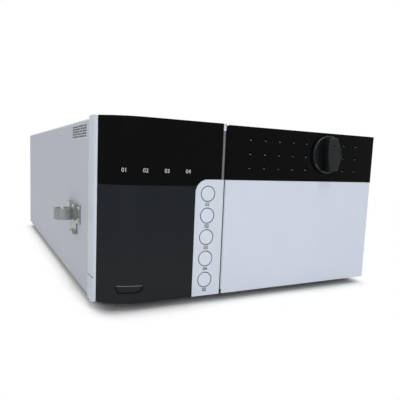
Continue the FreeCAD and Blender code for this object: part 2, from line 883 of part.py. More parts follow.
def window_trim():
    part = new_part("window_trim")
    low = f"({band_low} + panel_gap)"
    spots = [
        (f"{left_end} - trim_width", "trim_edge"),
        (f"{left_end} - trim_width + trim_edge", "0"),
        (f"{left_end} - trim_round", "0"),
        (left_end, "trim_round"),
        (left_end, "panel_thick"),
        (f"{left_end} - trim_width", "panel_thick"),
    ]
    add(part, "Strip", "top", low, f"{front_top} - trim_drop - panel_gap - {low}", spots)
    place(part)


def display_module():
    part = new_part("display_module")
    at = "panel_thick + carrier_wall"
    wide = "(display_width + 2 * display_lap)"
    high = "(display_height + 2 * display_lap)"
    add(part, "Case", "front", at, "display_depth", about(display_x, display_z, wide, high))
    glass = about(display_x, display_z, "(display_width - 2 * glass_margin)",
                  "(display_height - 2 * glass_margin)")
    cut(part, "Glass", "front", at, "glass_inset", glass)
    place(part)


def key_board():
    part = new_part("key_board")
    first = f"({front_low} + key_first - board_margin)"
    last = f"({front_low} + key_first + 4 * {key_pitch} + board_margin)"
    add(part, "Board", "front", board_front, "board_thick",
        rectangle(f"{key_x} - board_half", first, f"{key_x} + board_half", last))
    sketch = new_sketch(part, "keyBoardSwitches", "front", switch_front)
    for z in key_places():
        contour(sketch, about(key_x, z, "switch_size", "switch_size"))
    grow(part, sketch, "front", "switch_height + lap")
    place(part)


def keys():
    for number, z in enumerate(key_places(), start=1):
        part = new_part(f"key_{number}")
        spots = [
            ("0", "-key_proud"),
            ("key_radius - key_edge", "-key_proud"),
            ("key_radius", "key_edge - key_proud"),
            ("key_radius", "panel_thick + key_gap"),
            ("key_radius + key_lip", "panel_thick + key_gap"),
            ("key_radius + key_lip", key_back),
            ("key_stem", key_back),
            ("key_stem", stem_end),
            ("0", stem_end),
        ]
        turn(part, "Profile", "top", spots)
        place(part, key_x, "0", z)


def power_button():
    part = new_part("power_button")
    add(part, "Boat", "front", "0", "button_seat + lap", boat("button_gap"))
    flange_width = "(scoop_length + 2 * button_flange - 2 * button_flange_gap)"
    flange = about(scoop_x, scoop_z, flange_width, "(scoop_height + 2 * button_flange_lip)")
    add(part, "Flange", "front", "button_seat", "button_flange_thick", flange)
    end_x = f"({scoop_x} + scoop_length)"
    low_x = f"({scoop_x} - scoop_length)"
    reach = "(curve_radius - scoop_depth)"
    spots = [
        (end_x, "-through"),
        (end_x, "scoop_depth"),
        (bend_x, "scoop_depth"),
        (low_x, f"curve_radius - sqrt({reach}^2 - ({bend_x} - {low_x})^2)"),
        (low_x, "-through"),
    ]
    cut(part, "Face", "top", front_low, "3 * scoop_height + scoop_rise", spots,
        {2: (bend_x, "curve_radius", reach, -1)})
    place(part)


def power_switch():
    part = new_part("power_switch")
    at = "button_seat + button_flange_thick + button_travel + switch_gap"
    middle = f"({front_low} + carrier_wall + power_switch_height / 2)"
    add(part, "Case", "front", f"{at} + plunger_length", "power_switch_length",
        about(scoop_x, middle, "power_switch_width", "power_switch_height"))
    plunger = about(scoop_x, scoop_z, "plunger_width", "plunger_height")
    add(part, "Plunger", "front", at, "plunger_length + lap", plunger)
    place(part)


def door_shell():
    part = new_part("door_shell")
    height = f"({door_top} - {front_low})"
    rim_left = f"({hinge_x} + rim_offset)"
    spots = [
        (hinge_x, "0"),
        (f"{right} - door_edge", "0"),
        (right, "door_edge"),
        (right, "bezel_front - fit_gap"),
        (rim_left, "bezel_front - fit_gap"),
        (rim_left, "2 * knuckle_radius"),
        (hinge_x, "2 * knuckle_radius"),
    ]
    arcs = {6: (hinge_x, "knuckle_radius", "knuckle_radius", 1)}
    add(part, "Block", "top", front_low, height, spots, arcs)
    inside = rectangle(f"{rim_left} + door_rim", f"{front_low} + door_rim",
                       f"{right} - door_rim", f"{door_top} - door_rim")
    cut(part, "Inside", "front", "door_wall", "bezel_front", inside)
    add_rounds(part, "Collar", "front", "door_wall - lap", "collar_height + lap",
               [(knob_x, knob_z, "knob_radius + knob_hole_gap + collar_wall")])
    ribs = new_sketch(part, "doorShellRibs", "front", "door_wall - lap")
    rib_length = f"({band_low} - {front_low} - 2 * door_rim - rib_end_gap)"
    for number in range(3):
        rib_x = f"({rim_left} + door_rim + rib_first + {number} * rib_pitch)"
        contour(ribs, about(rib_x, f"(({front_low} + {band_low}) / 2)", "rib_wall", rib_length))
    grow(part, ribs, "front", "rib_height + lap")
    band = rectangle(f"{seam} - through", f"{band_low} - panel_gap",
                     f"{right} + through", f"{door_top} + through")
    cut(part, "BandSeat", "front", "-through", "band_thick + through", band)
    hole = [(knob_x, knob_z, "knob_radius + knob_hole_gap")]
    cut_rounds(part, "KnobHole", "front", "0", "bezel_front", hole)
    hinge_cuts(part, True)
    bore = [(hinge_x, "knuckle_radius", "pin_radius + pin_play")]
    cut_rounds(part, "PinBore", "top", front_low, height, bore)
    place(part)


def hinge_cuts(part, both):
    """Notches that clear the hinge leaves at the door's left corners, behind a thin front skin."""
    skin = "(knuckle_radius - leaf_radius - leaf_gap)"
    notch = rectangle(f"{seam} - through", skin, f"{hinge_x} + leaf_radius + leaf_gap", "bezel_front")
    deep = "(leaf_thick + 2 * leaf_gap)"
    cut(part, "TopNotch", "top", f"{door_top} - {deep}", f"{deep} + through", notch)
    if both:
        cut(part, "LowNotch", "top", f"{front_low} - through", f"{deep} + through", notch)


def door_band():
    part = new_part("door_band")
    tip_x = f"({hinge_x} - sqrt(knuckle_radius^2 - (knuckle_radius - band_thick)^2))"
    spots = [
        (tip_x, "band_thick"),
        (hinge_x, "0"),
        (f"{right} - band_edge", "0"),
        (right, "band_edge"),
        (right, "band_thick"),
    ]
    arcs = {0: (hinge_x, "knuckle_radius", "knuckle_radius", 1)}
    add(part, "Slab", "top", band_low, f"{door_top} - {band_low}", spots, arcs)
    hole = [(knob_x, knob_z, "knob_radius + knob_hole_gap")]
    cut_rounds(part, "KnobHole", "front", "-through", "band_thick + 2 * through", hole)
    dimples = []
    for column in (0, 1, 2, 3, 4, 7, 8):
        for line in range(3):
            x = f"({seam} + dimple_first_x + {column} * dimple_pitch_x)"
            z = f"({front_top} - dimple_drop - {line} * dimple_pitch_z)"
            dimples.append((x, z, "dimple_radius"))
    cones = cut_rounds(part, "Dimples", "front", "0", "dimple_depth", dimples)
    cones.setExpression("TaperAngle", bound("-dimple_taper"))
    hinge_cuts(part, False)
    place(part)


def door_strike():
    part = new_part("door_strike")
    plate = about(strike_x, strike_z, "strike_width", "strike_height")
    add(part, "Plate", "front", "door_wall", "strike_thick", plate)
    place(part)


strike_x = f"({right} - rail_wall - strike_width / 2 - strike_margin)"
strike_z = f"(({front_low} + {band_low}) / 2)"


def door_magnet():
    part = new_part("door_magnet")
    at = "door_wall + strike_thick + magnet_gap"
    reach = f"({strike_x} + strike_width / 2 + strike_margin)"
    half = "(strike_height / 2 - magnet_trim)"
    add(part, "Block", "front", at, f"bezel_depth - ({at})",
        rectangle(f"{strike_x} - strike_width / 2", f"{strike_z} - {half}", reach, f"{strike_z} + {half}"))
    place(part)


def hinge_brackets():
    top_leaf = f"({door_top} - leaf_gap - leaf_thick)"
    low_leaf = f"({front_low} + leaf_gap)"
    kinds = (("top", top_leaf, f"({top_leaf} - leaf_flange)"), ("bottom", low_leaf, low_leaf))
    for name, leaf, flange in kinds:
        part = new_part("hinge_bracket_" + name)
        spots = [
            (f"{hinge_x} - leaf_neck", "knuckle_radius + sqrt(leaf_radius^2 - leaf_neck^2)"),
            (f"{hinge_x} - leaf_neck", "bezel_front"),
            (f"{hinge_x} + leaf_radius", "bezel_front"),
            (f"{hinge_x} + leaf_radius", "knuckle_radius"),
        ]
        eye = {3: (hinge_x, "knuckle_radius", "leaf_radius", -1)}
        add(part, "Leaf", "top", leaf, "leaf_thick", spots, eye)
        upright = rectangle(f"{hinge_x} - leaf_radius", flange,
                            f"{hinge_x} + leaf_radius", f"{flange} + leaf_flange + leaf_thick")
        add(part, "Flange", "front", "bezel_front - leaf_sheet", "leaf_sheet", upright)
        hole = [(hinge_x, "knuckle_radius", "pin_radius + pin_fit")]
        cut_rounds(part, "Hole", "top", leaf, "leaf_thick", hole)
        place(part)


def hinge_pins():
    part = new_part("hinge_pins")
    pin = [(hinge_x, "knuckle_radius", "pin_radius")]
    add_rounds(part, "Low", "top", f"{front_low} + leaf_gap", "pin_length", pin)
    add_rounds(part, "Top", "top", f"{door_top} - leaf_gap - pin_length", "pin_length", pin)
    place(part)


def drain_knob():
    part = new_part("drain_knob")
    spots = [
        ("0", "knob_dish - knob_skirt"),
        ("knob_radius - knob_rim - knob_dish", "knob_dish - knob_skirt"),
        ("knob_radius - knob_rim", "-knob_skirt"),
        ("knob_radius - knob_bevel", "-knob_skirt"),
        ("knob_radius", "-knob_skirt + knob_bevel"),
        ("knob_radius", "knob_back"),
        ("knob_boss", "knob_back"),
        ("knob_boss", "knob_back + knob_boss_length"),
        ("0", "knob_back + knob_boss_length"),
    ]
    turn(part, "Skirt", "top", spots)
    sag = "(grip_half_width - grip_end_width)"
    side_radius = f"((grip_half_height^2 + {sag}^2) / (2 * {sag}))"
    grip = [
        ("-grip_end_width", "-grip_half_height"),
        ("grip_end_width", "-grip_half_height"),
        ("grip_end_width", "grip_half_height"),
        ("-grip_end_width", "grip_half_height"),
    ]
    arcs = {
        1: (f"grip_half_width - {side_radius}", "0", side_radius, 1),
        3: (f"{side_radius} - grip_half_width", "0", side_radius, 1),
    }
    bar = add(part, "Grip", "front", "-knob_reach", "knob_reach - knob_skirt + knob_dish + lap", grip, arcs)
    front = worth("-knob_reach")
    soften(part, bar, "grip_round", lambda edge: edge.BoundBox.YMax < front + near)
    pointer = [("0", "0.55 * grip_half_height", "pointer_radius")]
    cut_rounds(part, "Pointer", "front", "-knob_reach", "pointer_depth", pointer)
    part.Placement = FreeCAD.Placement(Vector(), Rotation(Vector(0, -1, 0), 1))
    part.setExpression("Placement.Rotation.Angle", bound("knob_lean"))
    place(part, knob_x, "0", knob_z)


def drain_stem():
    part = new_part("drain_stem")
    start = "(knob_back + knob_boss_length)"
    end = "(wet_panel_back - valve_depth + stem_sink)"
    add_rounds(part, "Rod", "front", start, f"{end} - {start}", [("0", "0", "stem_radius")])
    place(part, knob_x, "0", knob_z)


def drain_valve():
    part = new_part("drain_valve")
    front = "(wet_panel_back - valve_depth)"
    add(part, "Block", "front", front, "valve_depth", about("0", "0", "valve_size", "valve_size"))
    boss_front = f"{front} - valve_boss_length"
    add_rounds(part, "Boss", "front", boss_front, "valve_boss_length", [("0", "0", "valve_boss")])
    bore_depth = "valve_boss_length + stem_sink + stem_end_gap"
    cut_rounds(part, "Bore", "front", boss_front, bore_depth, [("0", "0", "stem_radius + stem_play")])
    place(part, knob_x, "0", knob_z)


def wet_panel():
    part = new_part("wet_panel")
    back = "(wet_panel_back + wet_sheet)"
    front = "(bezel_depth + fit_gap)"
    spots = [
        (divider_x, front),
        (f"{divider_x} + wet_sheet", front),
        (f"{divider_x} + wet_sheet", "wet_panel_back"),
        (f"{wet_right} - wet_sheet", "wet_panel_back"),
        (f"{wet_right} - wet_sheet", front),
        (wet_right, front),
        (wet_right, back),
        (divider_x, back),
    ]
    add(part, "Fold", "top", floor_top, f"{case_top} - cover_sheet - fit_gap - {floor_top}", spots)
    holes = [(x, head_z, "spigot_radius + spigot_gap") for x in head_columns()]
    holes.append((f"({divider_x} + gland_x)", f"({floor_top} + gland_z)", "gland_radius"))
    cut_rounds(part, "Holes", "front", "wet_panel_back", "wet_sheet", holes)
    place(part)


def head_columns():
    return [head_x, f"({head_x} + head_pitch)"]


def leak_tray():
    part = new_part("leak_tray")
    low_x = f"({divider_x} + wet_sheet + fit_gap)"
    high_x = f"({wet_right} - wet_sheet - fit_gap)"
    low_y = "(bezel_depth + fit_gap)"
    high_y = "(wet_panel_back - fit_gap)"
    add(part, "Block", "top", floor_top, "tray_height", rectangle(low_x, low_y, high_x, high_y))
    well = rectangle(f"{low_x} + tray_wall", f"{low_y} + tray_wall",
                     f"{high_x} - tray_wall", f"{high_y} - tray_wall")
    cut(part, "Well", "top", f"{floor_top} + tray_wall", "tray_height", well)
    place(part)


def leak_sensor():
    part = new_part("leak_sensor")
    base = f"{floor_top} + tray_wall"
    x = f"({divider_x} + sensor_from_divider)"
    y = "(wet_panel_back - sensor_from_panel)"
    add(part, "Body", "top", base, "sensor_size", about(x, y, "sensor_size", "sensor_size"))
    cut(part, "Gap", "side", f"{x} - sensor_size", "2 * sensor_size",
        rectangle(f"{y} - sensor_slot / 2", f"{base} - lap",
                  f"{y} + sensor_slot / 2", f"{base} + sensor_slot"))
    place(part)


def pump_heads():
    for name, x in zip(("left", "right"), head_columns()):
        part = new_part("pump_head_" + name)
        half_w = "(head_width / 2)"
        half_h = "(head_height / 2)"
        spots = []
        for side_x, side_z in ((1, -1), (1, 1), (-1, 1), (-1, -1)):
            flat = (f"{side_x} * {half_w}", f"{side_z} * ({half_h} - head_chamfer)")
            top = (f"{side_x} * ({half_w} - head_chamfer)", f"{side_z} * {half_h}")
            spots += [top, flat] if side_x * side_z < 0 else [flat, top]
        add(part, "Block", "front", "-head_depth", "head_depth", spots)
        add_rounds(part, "Spigot", "front", "0", "spigot_length", [("0", "0", "spigot_radius")])
        face = [("0", "0", "head_width / 2 - face_margin")]
        cut_rounds(part, "Face", "front", "-head_depth", "face_depth", face)
        place(part, x, "wet_panel_back", head_z)


def head_screws():
    part = new_part("head_screws")
    spots = []
    for x in head_columns():
        for side_x, side_z in ((-1, 1), (1, -1)):
            spots.append((f"({x} + {side_x} * (head_width / 2 - head_screw_inset))",
                          f"({head_z} + {side_z} * (head_height / 2 - head_screw_inset))"))
    at = "(wet_panel_back - head_depth - head_screw_height)"
    heads = [(x, z, "head_screw_radius") for x, z in spots]
    add_rounds(part, "Heads", "front", at, "head_screw_height", heads)
    cut_rounds(part, "Sockets", "front", at, "socket_depth", [(x, z, "socket_radius") for x, z in spots])
    place(part)


def check_valves():
    """Hexagonal check valve cartridges with a fitting nut, above and below each head."""
    flat = "(check_hex / 2)"
    point = "(check_hex / sqrt(3))"
    hexagon = [
        (point, "0"),
        (f"{point} / 2", flat),
        (f"-{point} / 2", flat),
        (f"-{point}", "0"),
        (f"-{point} / 2", f"-{flat}"),
        (f"{point} / 2", f"-{flat}"),
    ]
    nut = [("0", "0", "nut_radius")]
    for side, x in zip(("left", "right"), head_columns()):
        outlet = new_part("outlet_valve_" + side)
        add(outlet, "Hex", "top", "0", "check_height", hexagon)
        add_rounds(outlet, "Nut", "top", "check_height - lap", "nut_height + lap", nut)
        place(outlet, x, tube_y, f"({head_z} + head_height / 2)")
        inlet = new_part("inlet_valve_" + side)
        add(inlet, "Hex", "top", "-check_height", "check_height", hexagon)
        add_rounds(inlet, "Nut", "top", "-check_height - nut_height", "nut_height + lap", nut)
        place(inlet, x, tube_y, f"({head_z} - head_height / 2)")


nut_top = f"({head_z} + head_height / 2 + check_height + nut_height)"
pressure_top = f"({pressure_z} + pressure_size / 2)"
filter_low = f"({pressure_top} + filter_gap)"


def outlet_manifold():
    part = new_part("outlet_manifold")
    block = about(f"({head_x} + head_pitch)", tube_y, "manifold_size", "manifold_size")
    add(part, "Block", "top", nut_top, "manifold_size", block)
    place(part)


def pressure_sensor():
    part = new_part("pressure_sensor")
    add(part, "Block", "front", "wet_panel_back - pressure_depth", "pressure_depth",
        about(pressure_x, pressure_z, "pressure_size", "pressure_size"))
    add_rounds(part, "Cell", "front", "wet_panel_back - pressure_depth - cell_length", "cell_length + lap",
               [(pressure_x, pressure_z, "pressure_size / 2 - cell_margin")])
    place(part)


def line_filter():
    part = new_part("line_filter")
    spots = [
        ("0", "0"),
        ("filter_radius - filter_edge", "0"),
        ("filter_radius", "filter_edge"),
        ("filter_radius", "filter_height - filter_taper"),
        ("filter_radius - filter_neck", "filter_height"),
        ("0", "filter_height"),
    ]
    turn(part, "Profile", "front", spots)
    place(part, pressure_x, tube_y, filter_low)


def tube(name, points):
    """Bent steel tube: straight runs joined by arcs of one bend radius, along points (x, y, z)."""
    part = doc.addObject("Part::Feature", name)
    part.Label = name
    parts.append(part)
    route = [Vector(worth(x), worth(y), worth(z)) for x, y, z in points]
    radius = worth("tube_bend")
    edges = []
    start = route[0]
    for before, corner, after in zip(route, route[1:], route[2:]):
        towards = (corner - before).normalize()
        away = (after - corner).normalize()
        trim = radius * math.tan(towards.getAngle(away) / 2)
        arc_start = corner - towards * trim
        arc_end = corner + away * trim
        inward = (away - towards).normalize()
        centre = corner + inward * (radius / math.cos(towards.getAngle(away) / 2))
        middle = centre - inward * radius
        edges.append(Part.LineSegment(start, arc_start).toShape())
        edges.append(Part.Arc(arc_start, middle, arc_end).toShape())
        start = arc_end
    edges.append(Part.LineSegment(start, route[-1]).toShape())
    spine = Part.Wire(edges)
    circle = Part.Circle(route[0], route[1] - route[0], worth("tube_radius"))
    part.Shape = spine.makePipeShell([Part.Wire([circle.toShape()])], True, False, 2)
    place(part)


def tubes():
    right_head = f"({head_x} + head_pitch)"
    run_z = f"({nut_top} + manifold_size / 2)"
    front_y = "(wet_panel_back - valve_depth - valve_boss_length - tube_front_gap)"
    sensor_x = f"({pressure_x} - sensor_tube_offset)"
    tube("tube_outlet", [
        (head_x, tube_y, nut_top),
        (head_x, tube_y, run_z),
        (f"{right_head} - manifold_size / 2", tube_y, run_z),
    ])
    tube("tube_sensor", [
        (right_head, f"{tube_y} - manifold_size / 2", run_z),
        (right_head, front_y, run_z),
        (sensor_x, front_y, run_z),
        (sensor_x, tube_y, run_z),
        (sensor_x, tube_y, pressure_top),
    ])
    tube("tube_filter", [
        (pressure_x, tube_y, pressure_top),
        (pressure_x, tube_y, filter_low),
    ])
    tube("tube_valve", [
        (pressure_x, tube_y, f"{filter_low} + filter_height"),
        (pressure_x, tube_y, knob_z),
        (f"{knob_x} + valve_size / 2", tube_y, knob_z),
    ])


def drive_housing():
    part = new_part("drive_housing")
    arch = f"({floor_top} + drive_arch)"
    spots = [
        (drive_front, floor_top),
        (f"{drive_front} + drive_foot", floor_top),
        (f"{drive_front} + drive_foot + drive_arch", arch),
        (f"{drive_back} - drive_foot - drive_arch", arch),
        (f"{drive_back} - drive_foot", floor_top),
        (drive_back, floor_top),
        (drive_back, f"{floor_top} + drive_top"),
        (drive_front, f"{floor_top} + drive_top"),
    ]
    add(part, "Casting", "side", f"{drive_x} - drive_width / 2", "drive_width", spots)
    spigots = [(x, head_z, "spigot_radius + spigot_gap") for x in head_columns()]
    cut_rounds(part, "Spigots", "front", drive_front, "spigot_length", spigots)
    gaps = []
    for number in range(5):
        y = f"({drive_front} + fin_first + {number} * fin_pitch)"
        gaps.append(rectangle(f"{drive_x} - drive_width", y, f"{drive_x} + drive_width", f"{y} + fin_gap"))
    cut_many(part, "Fins", "top", f"{floor_top} + drive_top - fin_depth", "fin_depth + through", gaps)
    place(part)


def drive_motor():
    part = new_part("drive_motor")
    z = f"({floor_top} + drive_low + motor_size / 2)"
    half = "(motor_size / 2)"
    spots = []
    for side_x, side_z in ((1, -1), (1, 1), (-1, 1), (-1, -1)):
        flat = (f"{drive_x} + {side_x} * {half}", f"{z} + {side_z} * ({half} - motor_corner)")
        top = (f"{drive_x} + {side_x} * ({half} - motor_corner)", f"{z} + {side_z} * {half}")
        spots += [top, flat] if side_x * side_z < 0 else [flat, top]
    add(part, "Frame", "front", drive_back, "motor_length", spots)
    add_rounds(part, "Boss", "front", f"{drive_back} + motor_length - lap", "motor_boss_length + lap",
               [(drive_x, z, "motor_boss")])
    place(part)


def power_supply():
    part = new_part("power_supply")
    low_x = f"(-{board_side})"
    add(part, "Case", "top", floor_top, "supply_height",
        rectangle(low_x, "supply_start", f"{low_x} + supply_width", "supply_start + supply_length"))
    slots = []
    for number in range(10):
        y = f"(supply_start + supply_slot_first + {number} * supply_slot_pitch)"
        slots.append(rectangle(f"{low_x} + supply_slot_margin", y,
                               f"{low_x} + supply_width - supply_slot_margin", f"{y} + supply_slot"))
    cut_many(part, "Slots", "top", f"{floor_top} + supply_height - supply_slot_depth",
             "supply_slot_depth + through", slots)
    place(part)


def main_board():
    part = new_part("main_board")
    low_z = f"({floor_top} + main_rise)"
    low_x = f"({board_side} - main_width)"
    add(part, "Board", "top", low_z, "board_thick",
        rectangle(low_x, main_start, board_side, f"{main_start} + main_length"))
    sketch = new_sketch(part, "mainBoardChips", "top", f"{low_z} + board_thick - lap")
    # Middles and sides of the large components, as shares of the board.
    shares = [
        (0.23, 0.27, 0.19, 0.16),
        (0.56, 0.24, 0.11, 0.20),
        (0.80, 0.42, 0.15, 0.30),
        (0.36, 0.70, 0.30, 0.11),
    ]
    for x, y, wide, long in shares:
        contour(sketch, about(f"({low_x} + {x} * main_width)", f"({main_start} + {y} * main_length)",
                              f"({wide} * main_width)", f"({long} * main_length)"))
    grow(part, sketch, "top", "chip_height + lap")
    place(part)


def board_standoffs():
    part = new_part("board_standoffs")
    columns = (f"({board_side} - main_width + standoff_inset)", f"({board_side} - standoff_inset)")
    rows = (f"({main_start} + standoff_inset)", f"({main_start} + main_length - standoff_inset)")
    posts = [(x, y, "standoff_radius") for x in columns for y in rows]
    add_rounds(part, "Posts", "top", floor_top, "main_rise", posts)
    place(part)


def fan_frame():
    part = new_part("fan_frame")
    add(part, "Frame", "front", "0", "fan_depth", about("0", "0", "fan_size", "fan_size"))
    cut_rounds(part, "Bore", "front", "-through", "fan_depth + 2 * through", [("0", "0", "fan_bore")])
    add_rounds(part, "Plate", "front", "0", "fan_plate", [("0", "0", "fan_hub")])
    arms = new_sketch(part, "fanFrameArms", "front", "0")
    contour(arms, about("0", "0", "(2 * fan_bore + 2 * lap)", "fan_arm"))
    grow(part, arms, "front", "fan_plate")
    uprights = new_sketch(part, "fanFrameUprights", "front", "0")
    contour(uprights, about("0", "0", "fan_arm", "(2 * fan_bore + 2 * lap)"))
    grow(part, uprights, "front", "fan_plate")
    bore = [("0", "0", "fan_shaft + fan_play")]
    cut_rounds(part, "ShaftBore", "front", "-through", "fan_plate + 2 * through", bore)
    pitch = "(fan_size / 2 - fan_screw_inset)"
    spots = [(-1, -1), (-1, 1), (1, -1), (1, 1)]
    corners = [(f"{dx} * {pitch}", f"{dz} * {pitch}", "small_screw + screw_gap") for dx, dz in spots]
    cut_rounds(part, "Holes", "front", "-through", "fan_depth + 2 * through", corners)
    place(part, fan_x, fan_front, fan_z)


def fan_rotor():
    part = new_part("fan_rotor")
    start = "(fan_plate + rotor_gap)"
    length = f"(fan_depth - rotor_recess - {start})"
    add_rounds(part, "Hub", "front", start, length, [("0", "0", "fan_hub")])
    shaft = [("0", "0", "fan_shaft")]
    add_rounds(part, "Shaft", "front", "shaft_start", f"{start} + lap - shaft_start", shaft)
    middle = f"({start} + {length} / 2)"
    run = "(blade_depth / 2 * cos(blade_pitch_angle))"
    rise = "(blade_depth / 2 * sin(blade_pitch_angle) + blade_thick)"
    blade = new_sketch(part, "fanRotorBlade", "side", "fan_hub - vane_root")
    contour(blade, [
        (f"{middle} - {run}", f"-{rise}"),
        (f"{middle} - {run} + blade_thick", f"-{rise}"),
        (f"{middle} + {run}", f"{rise} - blade_thick"),
        (f"{middle} + {run}", rise),
        (f"{middle} + {run} - blade_thick", rise),
        (f"{middle} - {run}", f"-{rise} + blade_thick"),
    ])
    pad = grow(part, blade, "side", "fan_bore - fan_tip_gap - (fan_hub - vane_root)")
    doc.recompute()
    pattern = part.newObject("PartDesign::PolarPattern", "fanRotorBlades")
    pattern.Originals = [pad]
    pattern.Axis = (next(item for item in part.Origin.OriginFeatures if item.Role == "Y_Axis"), [""])
    pattern.Angle = 360
    pattern.Occurrences = 7
    part.Tip = pattern
    place(part, fan_x, fan_front, fan_z)


def power_inlet():
    part = new_part("power_inlet")
    inner = "inlet_depth - inlet_flange"
    add(part, "Body", "front", f"-({inner})", inner, about("0", "0", "inlet_width", "inlet_height"))
    flange = about("0", "0", "inlet_flange_width", "(inlet_height + 2 * inlet_flange_lip)")
    add(part, "Flange", "front", "0", "inlet_flange", flange)
    socket = about("0", "0", "(inlet_width - 2 * inlet_wall)", "(inlet_height - 2 * inlet_wall)")
    cut(part, "Socket", "front", "inlet_flange - inlet_cavity", "inlet_cavity + through", socket)
    blades = new_sketch(part, "powerInletBlades", "front", "inlet_flange - inlet_cavity - lap")
    for x, z in (("-blade_spread", "-blade_low"), ("blade_spread", "-blade_low"), ("0", "blade_high")):
        contour(blades, about(x, z, "blade_height", "blade_width"))
    grow(part, blades, "front", "inlet_cavity - blade_short + lap")
    reach = "(inlet_flange_width / 2 - inlet_screw_inset)"
    holes = [(f"{side} * {reach}", "0", "small_screw + screw_gap") for side in (-1, 1)]
    cut_rounds(part, "Holes", "front", "0", "inlet_flange", holes)
    place(part, inlet_x, "case_depth", inlet_z)


def link_connector():
    part = new_part("link_connector")
    half = "(link_shell_width / 2)"
    low_half = "(link_shell_width / 2 - link_shell_slope)"
    high = "(link_shell_height / 2)"
    add(part, "Flange", "front", "0", "link_flange", about("0", "0", "link_width", "link_height"))
    shell = [(f"-{low_half}", f"-{high}"), (low_half, f"-{high}"), (half, high), (f"-{half}", high)]
    add(part, "Shell", "front", "link_flange - lap", "link_reach - link_flange + lap", shell)
    body = about("0", "0", "link_body_width", "link_body_height")
    add(part, "Body", "front", "-link_depth", "link_depth + lap", body)
    place(part, link_x, "case_depth", inlet_z)


def tube_ring():
    """Moulded clip on the side: a split ring for the solvent tubes on a screwed plate with a small hook."""
    part = new_part("tube_ring")
    face = f"(-{case_side})"
    top = "(ring_rise + clip_top)"
    sheet_face = f"({face} - clip_sheet)"
    add_rounds(part, "Band", "top", "ring_rise", "ring_height", [(ring_x, "ring_back", "ring_outer")])
    plate = rectangle("clip_front", "ring_rise - clip_drop", "clip_back", top)
    add(part, "Plate", "side", sheet_face, "clip_sheet", plate)
    pad = rectangle("clip_pad_front", "ring_rise", "clip_back", top)
    add(part, "Pad", "side", f"{sheet_face} - clip_pad", "clip_pad + lap", pad)
    low_z = "(ring_rise - strap_drop)"
    strap = rectangle("strap_front", low_z, "strap_front + strap_width", "ring_rise")
    add(part, "Strap", "side", sheet_face, "clip_sheet", strap)
    hook = rectangle("strap_front", low_z, "strap_front + strap_width", f"{low_z} + hook_height")
    add(part, "Hook", "side", f"{sheet_face} - hook_reach", "hook_reach + lap", hook)
    eye = [(ring_x, "ring_back", "ring_inner")]
    cut_rounds(part, "Eye", "top", "ring_rise - through", "clip_top + 2 * through", eye)
    mouth = rectangle(f"{ring_x} - ring_mouth / 2", "ring_back",
                      f"{ring_x} + ring_mouth / 2", "ring_back + ring_outer + through")
    cut(part, "Mouth", "top", "ring_rise - through", "ring_height + 2 * through", mouth)
    holes = [(y, z, "small_screw + screw_gap") for y, z in ring_screw_places()]
    cut_rounds(part, "Holes", "side", f"{sheet_face} - through", "clip_sheet + 2 * through", holes)
    place(part)


def ring_screw_places():
    y = "(clip_front + clip_screw_inset)"
    return [(y, "(ring_rise + clip_screw_low)"), (y, "(ring_rise + clip_top - clip_screw_drop)")]


def ring_screws():
    part = new_part("ring_screws")
    face = f"(-{case_side} - clip_sheet)"
    heads = [(y, z, "clip_head") for y, z in ring_screw_places()]
    add_rounds(part, "Heads", "side", f"{face} - clip_screw_height", "clip_screw_height", heads)
    shanks = [(y, z, "small_screw") for y, z in ring_screw_places()]
    sink = "clip_screw_height / 2"
    add_rounds(part, "Shanks", "side", f"{face} - {sink}", f"clip_sheet + {sink}", shanks)
    place(part)


def build():
    base_chassis()
    feet()
    top_cover()
    rear_panel()
    rear_screws()
    front_bezel()
    display_window()
    lower_panel()
    key_plate()
    window_trim()
    display_module()
    key_board()
    keys()
    power_button()
    power_switch()
    door_shell()
    door_band()
    door_strike()
    door_magnet()
    hinge_brackets()
    hinge_pins()
    drain_knob()
    drain_stem()
    drain_valve()
    wet_panel()
    leak_tray()
    leak_sensor()
    pump_heads()
    head_screws()
    check_valves()
    outlet_manifold()
    pressure_sensor()
    line_filter()
    tubes()
    drive_housing()
    drive_motor()
    power_supply()
    main_board()
    board_standoffs()
    fan_frame()
    fan_rotor()
    power_inlet()
    link_connector()
    tube_ring()
    ring_screws()
    doc.recompute()


def check():
    """Stops the build if an object failed, a shape is bad or a cut removed nothing."""
    faults = []
    for item in doc.Objects:
        if "Invalid" in item.State or "Error" in item.State:
            faults.append(f"{item.Name} failed")
        if item.TypeId == "PartDesign::Pocket":
            base = item.BaseFeature.Shape.Volume
            if base - item.Shape.Volume < near:
                faults.append(f"{item.Name} cuts nothing")
    for part in parts:
        if part.Shape.isNull() or not part.Shape.isValid() or not part.Shape.Solids:
            faults.append(f"{part.Label} has no valid shape")
    if faults:
        raise RuntimeError("; ".join(faults))


def export():
    os.makedirs("parts", exist_ok=True)
    for part in parts:
        part.Shape.exportStep(f"parts/{part.Label}.step")
    print(f"{len(parts)} parts written")


build()
check()
export()
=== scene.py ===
import json
import math

import bpy
from mathutils import Matrix, Vector


